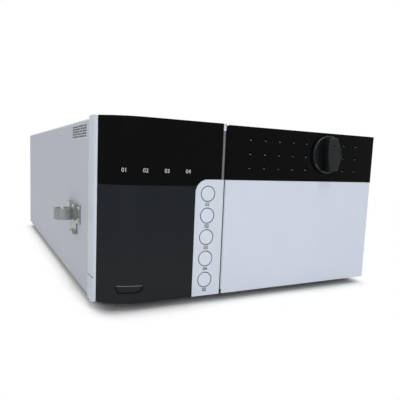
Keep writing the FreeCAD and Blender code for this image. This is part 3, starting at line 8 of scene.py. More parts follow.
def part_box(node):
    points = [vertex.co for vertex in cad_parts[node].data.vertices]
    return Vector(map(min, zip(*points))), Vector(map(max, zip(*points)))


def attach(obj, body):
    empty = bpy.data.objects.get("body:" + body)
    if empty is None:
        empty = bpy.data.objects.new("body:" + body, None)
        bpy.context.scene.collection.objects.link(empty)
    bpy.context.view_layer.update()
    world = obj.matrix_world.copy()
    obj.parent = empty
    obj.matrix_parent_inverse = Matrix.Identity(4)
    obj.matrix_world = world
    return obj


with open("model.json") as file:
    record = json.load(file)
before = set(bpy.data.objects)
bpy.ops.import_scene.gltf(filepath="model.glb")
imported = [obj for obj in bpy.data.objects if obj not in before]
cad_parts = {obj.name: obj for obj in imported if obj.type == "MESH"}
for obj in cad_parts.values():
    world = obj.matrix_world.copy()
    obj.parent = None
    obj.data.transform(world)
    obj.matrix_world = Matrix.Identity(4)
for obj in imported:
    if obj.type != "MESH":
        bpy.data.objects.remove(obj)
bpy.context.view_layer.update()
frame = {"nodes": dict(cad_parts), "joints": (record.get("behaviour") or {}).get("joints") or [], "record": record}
nodes = frame["nodes"]
mm = 0.001


def lowOf(node):
    # the node's lowest corner at rest, in millimetres
    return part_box(node)[0] / mm


def highOf(node):
    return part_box(node)[1] / mm


def middleOf(node):
    return (lowOf(node) + highOf(node)) / 2


print("scene: camera")

# The camera is fitted to a view of 400 by 400 pixels, and the place is in millimetres from the middle of the unit
# on the bench.
cameraFacts = {
    "place": (-194.14, -495.64, 111.71),
    "yaw": 27.298,          # degrees to the right of straight back
    "pitch": 6.498,         # degrees downwards
    "roll": 2.317,
    "lens": 38.593,
    "sensor": 36,
    "shift": (0.0070, 0.0223),
}


def makeCamera(facts):
    yaw, pitch, roll = (math.radians(facts[word]) for word in ("yaw", "pitch", "roll"))
    ahead = Vector((math.sin(yaw) * math.cos(pitch), math.cos(yaw) * math.cos(pitch), -math.sin(pitch)))
    level = Vector((math.cos(yaw), -math.sin(yaw), 0))
    up = level.cross(ahead)
    side = level * math.cos(roll) + up * math.sin(roll)
    top = up * math.cos(roll) - level * math.sin(roll)
    data = bpy.data.cameras.new("photoCamera")
    data.lens = facts["lens"]
    data.sensor_width = facts["sensor"]
    data.shift_x, data.shift_y = facts["shift"]
    camera = bpy.data.objects.new("photoCamera", data)
    bpy.context.collection.objects.link(camera)
    turn = Matrix((side, top, -ahead)).transposed().to_4x4()
    camera.matrix_world = Matrix.Translation(Vector(facts["place"]) * mm) @ turn
    bpy.context.scene.camera = camera


makeCamera(cameraFacts)
bpy.context.scene.view_settings.view_transform = "Standard"


class Wire:
    # A shader socket that takes part in plain arithmetic.
    def __init__(self, graph, socket):
        self.graph = graph
        self.socket = socket

    def maths(self, kind, *numbers):
        node = self.graph.make("ShaderNodeMath", {"operation": kind}, dict(enumerate(numbers)))
        return Wire(self.graph, node.outputs[0])

    def __add__(self, other):
        return self.maths("ADD", self, other)

    def __radd__(self, other):
        return self.maths("ADD", other, self)

    def __sub__(self, other):
        return self.maths("SUBTRACT", self, other)

    def __rsub__(self, other):
        return self.maths("SUBTRACT", other, self)

    def __mul__(self, other):
        return self.maths("MULTIPLY", self, other)

    def __rmul__(self, other):
        return self.maths("MULTIPLY", other, self)

    def __truediv__(self, other):
        return self.maths("DIVIDE", self, other)

    def __rtruediv__(self, other):
        return self.maths("DIVIDE", other, self)

    def __pow__(self, other):
        return self.maths("POWER", self, other)

    def __rpow__(self, other):
        return self.maths("POWER", other, self)

    def larger(self, other):
        return self.maths("MAXIMUM", self, other)

    def wrap(self, low, high):
        # runs from low to high again and again
        return self.maths("WRAP", self, high, low)

    def size(self):
        # distance from zero
        return self.larger(self * -1)

    def reach(self, other):
        # distance from where both are zero
        return (self * self + other * other) ** 0.5

    def swing(self, amount):
        # a pattern from 0 to 1 becomes a change of half the amount either way
        return (self - 0.5) * amount

    def fadeIn(self, low, high):
        # 0 below low and 1 above high, smooth between
        node = self.graph.make("ShaderNodeMapRange", {"interpolation_type": "SMOOTHSTEP"},
                               {"Value": self, "From Min": low, "From Max": high})
        return Wire(self.graph, node.outputs[0])

    def between(self, low, high, soft):
        # 1 from low to high, fading over soft outside
        return self.fadeIn(low - soft, low) * (1 - self.fadeIn(high, high + soft))


class Graph:
    # The shader nodes of a material or of the world.
    def __init__(self, tree):
        self.tree = tree

    def make(self, kind, settings=None, values=None):
        node = self.tree.nodes.new(kind)
        for word, value in (settings or {}).items():
            setattr(node, word, value)
        for word, value in (values or {}).items():
            self.feed(node.inputs[word], value)
        return node

    def feed(self, socket, value):
        if isinstance(value, Wire):
            self.tree.links.new(value.socket, socket)
        else:
            socket.default_value = value

    def join(self, node, other, number):
        self.tree.links.new(node.outputs[0], other.inputs[number])

    def seen(self):
        # 1 for what is looked at, straight, in a mirror or through something clear
        path = self.make("ShaderNodeLightPath")
        names = ("Is Camera Ray", "Is Glossy Ray", "Is Transmission Ray")
        straight, mirrored, through = (Wire(self, path.outputs[word]) for word in names)
        return straight.larger(mirrored).larger(through)


class Look(Graph):
    # A material whose patterns lie in the object's own coordinates.
    def __init__(self, name):
        self.material = bpy.data.materials.new(name)
        self.material.use_nodes = True
        super().__init__(self.material.node_tree)
        self.shader = self.tree.nodes["Principled BSDF"]
        self.place = Wire(self, self.make("ShaderNodeTexCoord").outputs["Object"])

    def finish(self, values):
        for word, value in values.items():
            self.feed(self.shader.inputs[word], value)
        return self.material

    def stretched(self, stretch, turn=(0, 0, 0)):
        node = self.make("ShaderNodeMapping", None,
                         {"Vector": self.place, "Scale": stretch, "Rotation": turn})
        return Wire(self, node.outputs[0])

    def noise(self, scale, detail, rough, where=None):
        node = self.make("ShaderNodeTexNoise", None,
                         {"Vector": where or self.place, "Scale": scale,
                          "Detail": detail, "Roughness": rough})
        return Wire(self, node.outputs[0])

    def cells(self, scale, where=None, feature="F1"):
        node = self.make("ShaderNodeTexVoronoi", {"feature": feature},
                         {"Vector": where or self.place, "Scale": scale})
        return Wire(self, node.outputs[0])

    def ruler(self, letter):
        # the place along X, Y or Z in millimetres
        node = self.make("ShaderNodeSeparateXYZ", None, {0: self.place})
        return Wire(self, node.outputs["XYZ".index(letter)]) / mm

    def upward(self):
        # 1 where the surface faces the ceiling
        geometry = self.make("ShaderNodeNewGeometry")
        node = self.make("ShaderNodeSeparateXYZ", None, {0: Wire(self, geometry.outputs["Normal"])})
        return Wire(self, node.outputs[2])

    def blend(self, factor, first, second):
        # inputs 6 and 7 and output 2 are this node's colours
        node = self.make("ShaderNodeMix", {"data_type": "RGBA"}, {0: factor, 6: first, 7: second})
        return Wire(self, node.outputs[2])

    def bump(self, height, strength, relief):
        node = self.make("ShaderNodeBump", None,
                         {"Height": height, "Strength": strength, "Distance": relief})
        return Wire(self, node.outputs[0])


def shade(colour, factor=1.0):
    return tuple(min(1.0, part * factor) for part in colour) + (1.0,)


print("scene: finishes")

# Layers that single nodes carry over their base colour, with lengths in millimetres

whiteColour = (0.620, 0.668, 0.750)
keyCount = 5

seam = {"overPlate": 0.30, "overDoor": 0.40, "soft": 0.06, "colour": (0.018, 0.021, 0.028)}


def seamShadow(look, base):
    # The narrow joint between the key column and the door stays dark.
    start = highOf("key_plate").x - seam["overPlate"]
    end = lowOf("door_shell").x + seam["overDoor"]
    inside = look.ruler("X").between(start, end, seam["soft"])
    return look.blend(inside, base, shade(seam["colour"]))


ring = {"radius": 5.9, "half": 0.24, "soft": 0.16, "margin": 0.5, "marginSoft": 0.1,
        "colour": (0.060, 0.065, 0.078)}


def keyGapShade(look, base):
    # Painted shade: a fine dark line round each key, on the plate and on the key's own edge, where the gap between
    # them lies in shadow.
    first, last = middleOf("key_1"), middleOf(f"key_{keyCount}")
    pitch = (last.z - first.z) / (keyCount - 1)
    height = look.ruler("Z")
    up = height.wrap(first.z - pitch / 2, first.z + pitch / 2) - first.z
    radius = (look.ruler("X") - first.x).reach(up)
    line = radius.between(ring["radius"] - ring["half"], ring["radius"] + ring["half"], ring["soft"])
    foot = lowOf("key_1").z - ring["margin"]
    top = highOf(f"key_{keyCount}").z + ring["margin"]
    return look.blend(line * height.between(foot, top, ring["marginSoft"]), base, shade(ring["colour"]))


# dim is painted shade on the wall, and the rim's brighter colour is a painted highlight
bezelSide = {
    "thick": 1.2, "edge": 0.2, "dim": 0.90,                 # the wall, in from the frame's left
    "rim": (0.6, 1.9), "rimSoft": 0.4, "paintedRimHighlight": 1.18,    # back from the frame's front
    "behind": (2.5, 3.0),                                   # where the lines begin
    "lines": (("Y", 7.9, 0.22), ("Z", 18.3, 0.42)),         # from the front and the foot, and half widths
    "lineSoft": 0.12, "lineColour": (0.24, 0.25, 0.27),
}


def sideShadeAndSeams(look, base):
    # The frame's left wall: painted shade that dims the wall, a painted highlight along its front edge, and the
    # fine parting lines of its mould.
    corner = lowOf("front_bezel")
    inner = corner.x + bezelSide["thick"]
    wall = 1 - look.ruler("X").fadeIn(inner, inner + bezelSide["edge"])
    base = look.blend(wall, base, shade(whiteColour, bezelSide["dim"]))
    rulers = {"Y": look.ruler("Y") - corner.y, "Z": look.ruler("Z") - corner.z}
    rim = wall * rulers["Y"].between(*bezelSide["rim"], bezelSide["rimSoft"])
    base = look.blend(rim, base, shade(whiteColour, bezelSide["paintedRimHighlight"]))
    behind = wall * rulers["Y"].fadeIn(*bezelSide["behind"])
    for letter, place, half in bezelSide["lines"]:
        line = rulers[letter].between(place - half, place + half, bezelSide["lineSoft"])
        base = look.blend(behind * line, base, shade(bezelSide["lineColour"]))
    return base


reflectionCast = {"rise": (16, 80), "high": (0.0078, 0.0102, 0.0142)}


def panelReflectionCast(look, base):
    # Painted reflection: the lower panel is painted a cooler, darker cast towards its top.
    rise = look.ruler("Z") - lowOf("lower_panel").z
    return look.blend(rise.fadeIn(*reflectionCast["rise"]), base, shade(reflectionCast["high"]))


buttonEdge = {"drop": (1.35, 1.85), "soft": 0.12, "colour": (0.20, 0.20, 0.21)}


def buttonEdgeHighlight(look, base):
    # Painted highlight: a light line along the power button's upper edge.
    drop = highOf("power_button").z - look.ruler("Z")
    line = drop.between(*buttonEdge["drop"], buttonEdge["soft"])
    return look.blend(line, base, shade(buttonEdge["colour"]))


knobAxis = next(Vector(joint["pos_m"]) / mm for joint in frame["joints"] if joint["name"] == "drain_turn")


def fromKnob(look):
    # distance from the knob's axis
    return (look.ruler("X") - knobAxis.x).reach(look.ruler("Z") - knobAxis.z)


knobShade = {
    "grip": (1.3, 6.9), "gripColour": (0.0098, 0.0108, 0.0112),     # back from the knob's front
    "rim": (14.9, 16.2), "rimSoft": 0.4, "rimHighlightColour": (0.055, 0.060, 0.062),
    "patch": (160, 3, 0.6), "patchSpread": (0.42, 0.68), "patchWeight": 0.7,
}


def knobTones(look, base):
    # The grip's front is painted lighter than the skirt, and the skirt's rim carries a patchy painted highlight.
    patch = look.noise(*knobShade["patch"]).fadeIn(*knobShade["patchSpread"]) * knobShade["patchWeight"]
    rim = fromKnob(look).between(*knobShade["rim"], knobShade["rimSoft"])
    base = look.blend(rim * patch, base, shade(knobShade["rimHighlightColour"]))
    depth = look.ruler("Y") - lowOf("drain_knob").y
    return look.blend(1 - depth.fadeIn(*knobShade["grip"]), base, shade(knobShade["gripColour"]))


dimple = {
    "depth": (0.06, 0.14), "rows": (6.8, 36.8), "rowSoft": 0.2,     # from the band's front and foot
    "knobHole": (18.0, 18.2), "facing": (0.56, 0.72), "colour": (0.27, 0.28, 0.29),
}


def dimpleGlint(look, base):
    # Painted highlight: the upward-facing lower lip of each dimple is painted light, as a glint.
    corner = lowOf("door_band")
    inside = (look.ruler("Y") - corner.y).fadeIn(*dimple["depth"])
    clear = fromKnob(look).fadeIn(*dimple["knobHole"])
    rows = (look.ruler("Z") - corner.z).between(*dimple["rows"], dimple["rowSoft"])
    lip = look.upward().fadeIn(*dimple["facing"]) * inside * clear * rows
    return look.blend(lip, base, shade(dimple["colour"]))


layersOf = {
    "door_shell": (seamShadow,),
    "front_bezel": (seamShadow, sideShadeAndSeams),
    "key_plate": (seamShadow, keyGapShade),
    "lower_panel": (panelReflectionCast,),
    "power_button": (buttonEdgeHighlight,),
    "drain_knob": (knobTones,),
    "door_band": (dimpleGlint,),
}
for number in range(1, keyCount + 1):
    layersOf[f"key_{number}"] = (keyGapShade,)


def layered(look, base, layers):
    for layer in layers:
        base = layer(look, base)
    return base


# Recipes. A pattern is its scale, detail and roughness, but grain, peel and marks take their scale from
# the finish. A spread is the part of a pattern that shows, dull is how much it roughens the surface,
# and relief is the height of the bump in metres.

mould = {
    "shine": 0.4, "relief": 0.00012,
    "mottle": (28, 3, 0.6), "mottleSpread": (0.3, 0.7),
    "smear": (9, 4, 0.65), "smearStretch": (1, 1, 0.35), "smearSpread": (0.55, 0.8), "smearDull": 0.08,
    "grain": (2, 0.6), "grainDull": 0.05,
}


def moulded(name, facts, layers=()):
    # Injection-moulded plastic: fine spark texture, faint mottling and hand smears.
    look = Look(name)
    mottle = look.noise(*mould["mottle"]).fadeIn(*mould["mottleSpread"])
    base = look.blend(mottle, shade(facts["colour"], 1 - facts["mottle"]),
                      shade(facts["colour"], 1 + facts["mottle"]))
    smear = look.noise(*mould["smear"], look.stretched(mould["smearStretch"]))
    smeared = smear.fadeIn(*mould["smearSpread"]) * facts["smear"]
    base = look.blend(smeared, base, shade(facts["smearColour"]))
    grain = look.noise(facts["grain"], *mould["grain"])
    return look.finish({
        "Base Color": layered(look, base, layers),
        "Specular IOR Level": facts.get("shine", mould["shine"]),
        "Roughness": facts["rough"] + smear.swing(mould["smearDull"]) + grain.swing(mould["grainDull"]),
        "Normal": look.bump(grain, facts["depth"], mould["relief"]),
    })


gloss = {
    "dust": (900, 2, 0.7), "dustSpread": (0.66, 0.74), "dustDull": 0.3,
    "film": (14, 4, 0.6), "filmDull": 0.04,
    "hairline": (60, 3, 0.8), "hairlineStretch": (1, 1, 14), "hairlineTurn": (0, 0.5, 0),
    "hairlineSpread": (0.62, 0.7), "hairlineDull": 0.05,
    "wave": (40, 2, 0.5), "waveDepth": 0.03, "relief": 0.0004,
}


def glossy(name, facts, layers=()):
    # Polished acrylic: nearly clean, with hairlines and a little dust.
    look = Look(name)
    dust = look.noise(*gloss["dust"]).fadeIn(*gloss["dustSpread"]) * facts["dust"]
    film = look.noise(*gloss["film"])
    scratched = look.stretched(gloss["hairlineStretch"], gloss["hairlineTurn"])
    lines = look.noise(*gloss["hairline"], scratched).fadeIn(*gloss["hairlineSpread"])
    base = look.blend(dust, shade(facts["colour"]), shade(facts["dustColour"]))
    dull = film * gloss["filmDull"] + lines * gloss["hairlineDull"] + dust * gloss["dustDull"]
    return look.finish({
        "Base Color": layered(look, base, layers),
        "Specular IOR Level": facts["shine"],
        "Roughness": facts["rough"] + dull,
        "Normal": look.bump(look.noise(*gloss["wave"]), gloss["waveDepth"], gloss["relief"]),
    })


paint = {
    "shine": 0.24, "relief": 0.00015,
    "cloud": (6, 3, 0.5), "cloudSpread": (0.3, 0.7), "cloudDull": 0.06,
    "rub": (22, 5, 0.7), "rubStretch": (1, 0.25, 1), "rubSpread": (0.62, 0.78), "rubDull": 0.08,
    "peel": (2, 0.5), "peelShare": 0.7, "finer": 4, "finerShare": 0.3,
}


def painted(name, facts):
    # Sprayed sheet metal: orange peel and a fine texture, with faint rubs.
    look = Look(name)
    cloud = look.noise(*paint["cloud"])
    base = look.blend(cloud.fadeIn(*paint["cloudSpread"]), shade(facts["colour"], 1 - facts["mottle"]),
                      shade(facts["colour"], 1 + facts["mottle"]))
    rub = look.noise(*paint["rub"], look.stretched(paint["rubStretch"])).fadeIn(*paint["rubSpread"])
    base = look.blend(rub * facts["rub"], base, shade(facts["rubColour"]))
    peel = look.noise(facts["peel"], *paint["peel"])
    finer = look.noise(facts["peel"] * paint["finer"], *paint["peel"])
    skin = peel * paint["peelShare"] + finer * paint["finerShare"]
    return look.finish({
        "Base Color": base,
        "Specular IOR Level": paint["shine"],
        "Roughness": facts["rough"] + cloud.swing(paint["cloudDull"]) + rub * paint["rubDull"],
        "Normal": look.bump(skin, facts["depth"], paint["relief"]),
    })


bareMetal = {
    "relief": 0.00003, "dark": 0.93, "light": 1.04,
    "marks": (3, 0.6), "marksSpread": (0.25, 0.75), "marksDull": 0.08,
    "stain": (45, 3, 0.6), "stainSpread": (0.55, 0.8), "stainDull": 0.05,
}


def metal(name, facts):
    # Bare metal with tool or roller marks along one direction.
    look = Look(name)
    marks = look.noise(facts["marks"], *bareMetal["marks"], look.stretched(facts["stretch"]))
    base = look.blend(marks.fadeIn(*bareMetal["marksSpread"]), shade(facts["colour"], bareMetal["dark"]),
                      shade(facts["colour"], bareMetal["light"]))
    stain = look.noise(*bareMetal["stain"])
    stained = stain.fadeIn(*bareMetal["stainSpread"]) * facts["stain"]
    dull = marks.swing(bareMetal["marksDull"]) + stain * bareMetal["stainDull"]
    return look.finish({
        "Base Color": look.blend(stained, base, shade(facts["stainColour"])),
        "Metallic": 1.0,
        "Roughness": facts["rough"] + dull,
        "Normal": look.bump(marks, facts["depth"], bareMetal["relief"]),
    })


casting = {
    "metallic": 0.9, "depth": 0.2, "relief": 0.0001, "dark": 0.8, "light": 1.1,
    "skin": (420, 4, 0.6), "skinSpread": (0.3, 0.75), "skinDull": 0.15,
    "pits": 700, "pitShare": 0.4,
}


def castAlloy(name, facts):
    # Cast light metal: a mottled skin with fine pits.
    look = Look(name)
    skin = look.noise(*casting["skin"])
    pitted = skin + look.cells(casting["pits"]) * casting["pitShare"]
    base = look.blend(skin.fadeIn(*casting["skinSpread"]), shade(facts["colour"], casting["dark"]),
                      shade(facts["colour"], casting["light"]))
    return look.finish({
        "Base Color": base,
        "Metallic": casting["metallic"],
        "Roughness": facts["rough"] + skin * casting["skinDull"],
        "Normal": look.bump(pitted, casting["depth"], casting["relief"]),
    })


board = {
    "rough": 0.35, "depth": 0.2, "relief": 0.0001,
    "weave": (120, 0, 0.5), "weaveStretch": (1, 0.04, 1), "weaveDull": 0.1,
    "runs": 130, "runStretch": (1, 0.18, 1), "runSpread": (0.03, 0.06),
    "dots": 300, "dotSpread": (0.12, 0.16),
}


def circuitBoard(name, facts):
    # Solder mask with copper runs that show through as lighter lines, and fine tinned dots.
    look = Look(name)
    weave = look.noise(*board["weave"], look.stretched(board["weaveStretch"]))
    edges = look.cells(board["runs"], look.stretched(board["runStretch"]), "DISTANCE_TO_EDGE")
    runs = edges.fadeIn(*board["runSpread"])
    dots = look.cells(board["dots"]).fadeIn(*board["dotSpread"])
    base = look.blend(runs, shade(facts["runColour"]), shade(facts["colour"]))
    return look.finish({
        "Base Color": look.blend(1 - dots, base, shade(facts["tinColour"])),
        "Roughness": board["rough"] + weave * board["weaveDull"],
        "Normal": look.bump(runs, board["depth"], board["relief"]),
    })


softFoot = {
    "rough": 0.75, "depth": 0.3, "relief": 0.0002,
    "fine": (1500, 3, 0.7), "fineDull": 0.15,
    "dust": (60, 4, 0.6), "dustSpread": (0.5, 0.75), "dustWeight": 0.25,
}


def rubber(name, facts):
    # Matt rubber with a fine grain and some dust.
    look = Look(name)
    fine = look.noise(*softFoot["fine"])
    dust = look.noise(*softFoot["dust"]).fadeIn(*softFoot["dustSpread"]) * softFoot["dustWeight"]
    return look.finish({
        "Base Color": look.blend(dust, shade(facts["colour"]), shade(facts["dustColour"])),
        "Roughness": softFoot["rough"] + fine * softFoot["fineDull"],
        "Normal": look.bump(fine, softFoot["depth"], softFoot["relief"]),
    })


clearMould = {
    "bend": 1.49, "depth": 0.1, "relief": 0.0005, "dark": 0.94, "light": 1.03,
    "flow": (90, 2, 0.5), "flowDull": 0.06,
}


def clearPlastic(name, facts):
    # Clear moulded plastic with faint flow marks.
    look = Look(name)
    flow = look.noise(*clearMould["flow"])
    base = look.blend(flow, shade(facts["colour"], clearMould["dark"]),
                      shade(facts["colour"], clearMould["light"]))
    return look.finish({
        "Base Color": base,
        "Transmission Weight": facts["clear"],
        "IOR": clearMould["bend"],
        "Roughness": facts["rough"] + flow * clearMould["flowDull"],
        "Normal": look.bump(flow, clearMould["depth"], clearMould["relief"]),
    })


finishes = {
    "white_plastic": (moulded, {
        "colour": whiteColour, "mottle": 0.012, "smear": 0.10, "smearColour": (0.56, 0.59, 0.66),
        "rough": 0.42, "grain": 2600, "depth": 0.10}),
    "key_plastic": (moulded, {
        "colour": (0.640, 0.690, 0.785), "mottle": 0.01, "smear": 0.06, "smearColour": (0.56, 0.60, 0.68),
        "rough": 0.38, "grain": 2600, "depth": 0.06}),
    "black_gloss": (glossy, {
        "colour": (0.0024, 0.0025, 0.0025), "dust": 0.05, "dustColour": (0.10, 0.10, 0.10),
        "rough": 0.07, "shine": 0.040}),
    "black_satin": (moulded, {
        "colour": (0.0120, 0.0134, 0.0158), "mottle": 0.06, "smear": 0.25, "shine": 0.12,
        "smearColour": (0.020, 0.020, 0.021), "rough": 0.36, "grain": 2200, "depth": 0.08}),
    "grey_trim": (moulded, {
        "colour": (0.15, 0.16, 0.15), "mottle": 0.02, "smear": 0.1, "smearColour": (0.12, 0.12, 0.12),
        "rough": 0.3, "grain": 2600, "depth": 0.05}),
    "knob_plastic": (moulded, {
        "colour": (0.0036, 0.0049, 0.0052), "mottle": 0.05, "smear": 0.25, "shine": 0.16,
        "smearColour": (0.020, 0.021, 0.022), "rough": 0.36, "grain": 2400, "depth": 0.14}),
    "button_plastic": (moulded, {
        "colour": (0.010, 0.011, 0.013), "mottle": 0.05, "smear": 0.2, "shine": 0.15,
        "smearColour": (0.02, 0.02, 0.02), "rough": 0.35, "grain": 2400, "depth": 0.1}),
    "cover_paint": (painted, {
        "colour": (0.505, 0.525, 0.585), "mottle": 0.015, "rub": 0.12, "rubColour": (0.42, 0.44, 0.49),
        "rough": 0.58, "peel": 700, "depth": 0.12}),
    "panel_paint": (painted, {
        "colour": (0.50, 0.515, 0.53), "mottle": 0.02, "rub": 0.1, "rubColour": (0.42, 0.42, 0.43),
        "rough": 0.48, "peel": 700, "depth": 0.14}),
    "bracket_steel": (painted, {
        "colour": (0.012, 0.012, 0.012), "mottle": 0.05, "rub": 0.3, "rubColour": (0.06, 0.06, 0.06),
        "rough": 0.5, "peel": 900, "depth": 0.2}),
    "black_iron": (painted, {
        "colour": (0.018, 0.018, 0.019), "mottle": 0.05, "rub": 0.2, "rubColour": (0.05, 0.05, 0.05),
        "rough": 0.45, "peel": 500, "depth": 0.25}),
    "plated_steel": (metal, {
        "colour": (0.47, 0.47, 0.455), "marks": 260, "stretch": (1, 0.08, 1), "stain": 0.25,
        "stainColour": (0.38, 0.36, 0.31), "rough": 0.40, "depth": 0.1}),
    "steel": (metal, {
        "colour": (0.53, 0.53, 0.525), "marks": 420, "stretch": (0.12, 1, 1), "stain": 0.12,
        "stainColour": (0.43, 0.42, 0.40), "rough": 0.27, "depth": 0.08}),
    "screw_steel": (metal, {
        "colour": (0.50, 0.50, 0.49), "marks": 800, "stretch": (1, 1, 0.5), "stain": 0.2,
        "stainColour": (0.3, 0.29, 0.27), "rough": 0.3, "depth": 0.1}),
    "magnet": (metal, {
        "colour": (0.16, 0.16, 0.16), "marks": 500, "stretch": (1, 1, 0.1), "stain": 0.2,
        "stainColour": (0.08, 0.08, 0.08), "rough": 0.5, "depth": 0.2}),
    "supply_case": (metal, {
        "colour": (0.66, 0.67, 0.67), "marks": 300, "stretch": (1, 0.05, 1), "stain": 0.1,
        "stainColour": (0.5, 0.5, 0.5), "rough": 0.4, "depth": 0.08}),
    "cast_alloy": (castAlloy, {
        "colour": (0.52, 0.53, 0.54), "rough": 0.42}),
    "board_green": (circuitBoard, {
        "colour": (0.012, 0.085, 0.035), "runColour": (0.03, 0.17, 0.07), "tinColour": (0.45, 0.45, 0.42)}),
    "black_plastic": (moulded, {
        "colour": (0.014, 0.014, 0.014), "mottle": 0.05, "smear": 0.2, "smearColour": (0.03, 0.03, 0.03),
        "rough": 0.5, "grain": 1800, "depth": 0.2}),
    "grey_plastic": (moulded, {
        "colour": (0.30, 0.31, 0.32), "mottle": 0.03, "smear": 0.2, "smearColour": (0.24, 0.24, 0.24),
        "rough": 0.5, "grain": 1800, "depth": 0.15}),
    "clear_plastic": (clearPlastic, {
        "colour": (0.42, 0.46, 0.44), "clear": 0.55, "rough": 0.16}),
    "rubber": (rubber, {
        "colour": (0.014, 0.014, 0.014), "dustColour": (0.42, 0.42, 0.40)}),
}

materials = {}
for slotName, (recipe, facts) in finishes.items():
    materials[slotName] = recipe("finish_" + slotName, facts)

slotOf = {entry["node"]: entry["material_slot"] for entry in frame["record"]["subparts"]}

smoothing = {"join": 0.002, "corner": 32}       # millimetres and degrees


def dressNode(node):
    # A CAD node keeps its shape: its faces get the finish, and its curves are shaded smooth.
    item = nodes[node]
    material = materials[slotOf[node]]
    if node in layersOf:
        recipe, facts = finishes[slotOf[node]]
        material = recipe("finish_" + node, facts, layersOf[node])
    item.data.materials.clear()
    item.data.materials.append(material)
    item.data.polygons.foreach_set("use_smooth", [True] * len(item.data.polygons))
    weld = item.modifiers.new("joinEdges", "WELD")
    weld.merge_threshold = smoothing["join"] * mm
    split = item.modifiers.new("keepCorners", "EDGE_SPLIT")
    split.split_angle = math.radians(smoothing["corner"])


for node in nodes:
    dressNode(node)


def clearSelection():
    if bpy.context.object and bpy.context.object.mode != "OBJECT":
        bpy.ops.object.mode_set(mode="OBJECT")
    bpy.ops.object.select_all(action="DESELECT")


def startBlock(size, middle=(0, 0, 0)):
    # A block to be shaped, in millimetres.
    clearSelection()
    bpy.ops.mesh.primitive_cube_add(size=1, location=Vector(middle) * mm)
    block = bpy.context.object
    block.scale = Vector(size) * mm
    bpy.ops.object.transform_apply(location=True, rotation=True, scale=True)
    return block


def settle(item, name, material, body):
    # Puts the piece's place into its mesh, names it and lets it ride on its body.
    clearSelection()
    item.select_set(True)
    bpy.context.view_layer.objects.active = item
    bpy.ops.object.transform_apply(location=True, rotation=True, scale=True)
    item.name = name
    item.data.name = name
    item.data.materials.clear()
    item.data.materials.append(material)
    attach(item, body)


print("scene: printed marks")

inkPatches = {"patch": (2200, 2, 0.6), "spread": (0.35, 0.8), "weight": 0.3,
              "rough": 0.5, "dull": 0.1, "depth": 0.1, "relief": 0.00005}


def printInk(name, facts):
    # Screen-printed ink that is thinner in places.
    look = Look(name)
    patch = look.noise(*inkPatches["patch"])
    thin = patch.fadeIn(*inkPatches["spread"]) * inkPatches["weight"]
    return look.finish({
        "Base Color": look.blend(thin, shade(facts["colour"]), shade(facts["thin"])),
        "Roughness": inkPatches["rough"] + patch * inkPatches["dull"],
        "Normal": look.bump(patch, inkPatches["depth"], inkPatches["relief"]),
    })


inks = {
    # the dark ink also serves as painted shade in the screws' cross recesses
    "dark": printInk("darkInkAndShade", {"colour": (0.045, 0.050, 0.062), "thin": (0.14, 0.15, 0.17)}),
    "pale": printInk("inkPale", {"colour": (0.62, 0.62, 0.62), "thin": (0.4, 0.4, 0.4)}),
}


def numberMark(name, words, spot, ink, facts):
    # Raised print that faces the front; spot is the middle of its foot in millimetres.
    clearSelection()
    bpy.ops.object.text_add(location=Vector(spot) * mm, rotation=(math.radians(90), 0, 0))
    mark = bpy.context.object
    mark.data.body = words
    mark.data.size = facts["size"] * mm
    mark.data.offset = facts["bold"] * mm
    mark.data.align_x = "CENTER"
    mark.data.extrude = facts["thick"] / 2 * mm
    bpy.ops.object.convert(target="MESH")
    settle(mark, name, inks[ink], "case")


keyMark = {"drop": 8.1, "size": 3.8, "halfHeight": 0.35, "thick": 0.04, "lift": 0.02, "bold": 0.10}

plateFront = lowOf("key_plate").y - keyMark["lift"]
for number in range(1, keyCount + 1):
    key = middleOf(f"key_{number}")
    foot = key.z - keyMark["drop"] - keyMark["size"] * keyMark["halfHeight"]
    numberMark(f"keyNumber{number}", f"0{keyCount + 1 - number}", (key.x, plateFront, foot),
               "dark", keyMark)

lampMark = {"offsets": (15.1, 30.9, 47.4, 64.4), "rise": 9.2, "size": 4.2,
            "thick": 0.04, "lift": 0.02, "bold": 0.0}

window = lowOf("display_window")
for number, offset in enumerate(lampMark["offsets"], start=1):
    spot = (window.x + offset, window.y - lampMark["lift"], window.z + lampMark["rise"])
    numberMark(f"lampNumber{number}", f"0{number}", spot, "pale", lampMark)

paper = {"fibre": (500, 3, 0.6), "spread": (0.3, 0.7), "dark": (0.54, 0.56, 0.60),
         "light": (0.60, 0.62, 0.66), "rough": 0.55, "dull": 0.1, "depth": 0.1, "relief": 0.0001}


def stickerLook(facts):
    look = Look("stickerPaper")
    fibre = look.noise(*facts["fibre"])
    return look.finish({
        "Base Color": look.blend(fibre.fadeIn(*facts["spread"]), shade(facts["dark"]), shade(facts["light"])),
        "Roughness": facts["rough"] + fibre * facts["dull"],
        "Normal": look.bump(fibre, facts["depth"], facts["relief"]),
    })


sticker = {
    "behindEdge": 8.2, "belowTop": 2.9,         # from the cover's front edge and top
    "length": 56.0, "height": 11.8, "thick": 0.12, "corner": 1.2,
    "margin": 1.9, "gap": 1.8,
    "cuts": ((9, 16), (21,), (13, 8), (17, 11), (6, 19)),       # lengths of the first bars in each row
    "bar": 1.35, "barThick": 0.04, "barCorner": 0.3,
    "cornerSteps": 4,
}


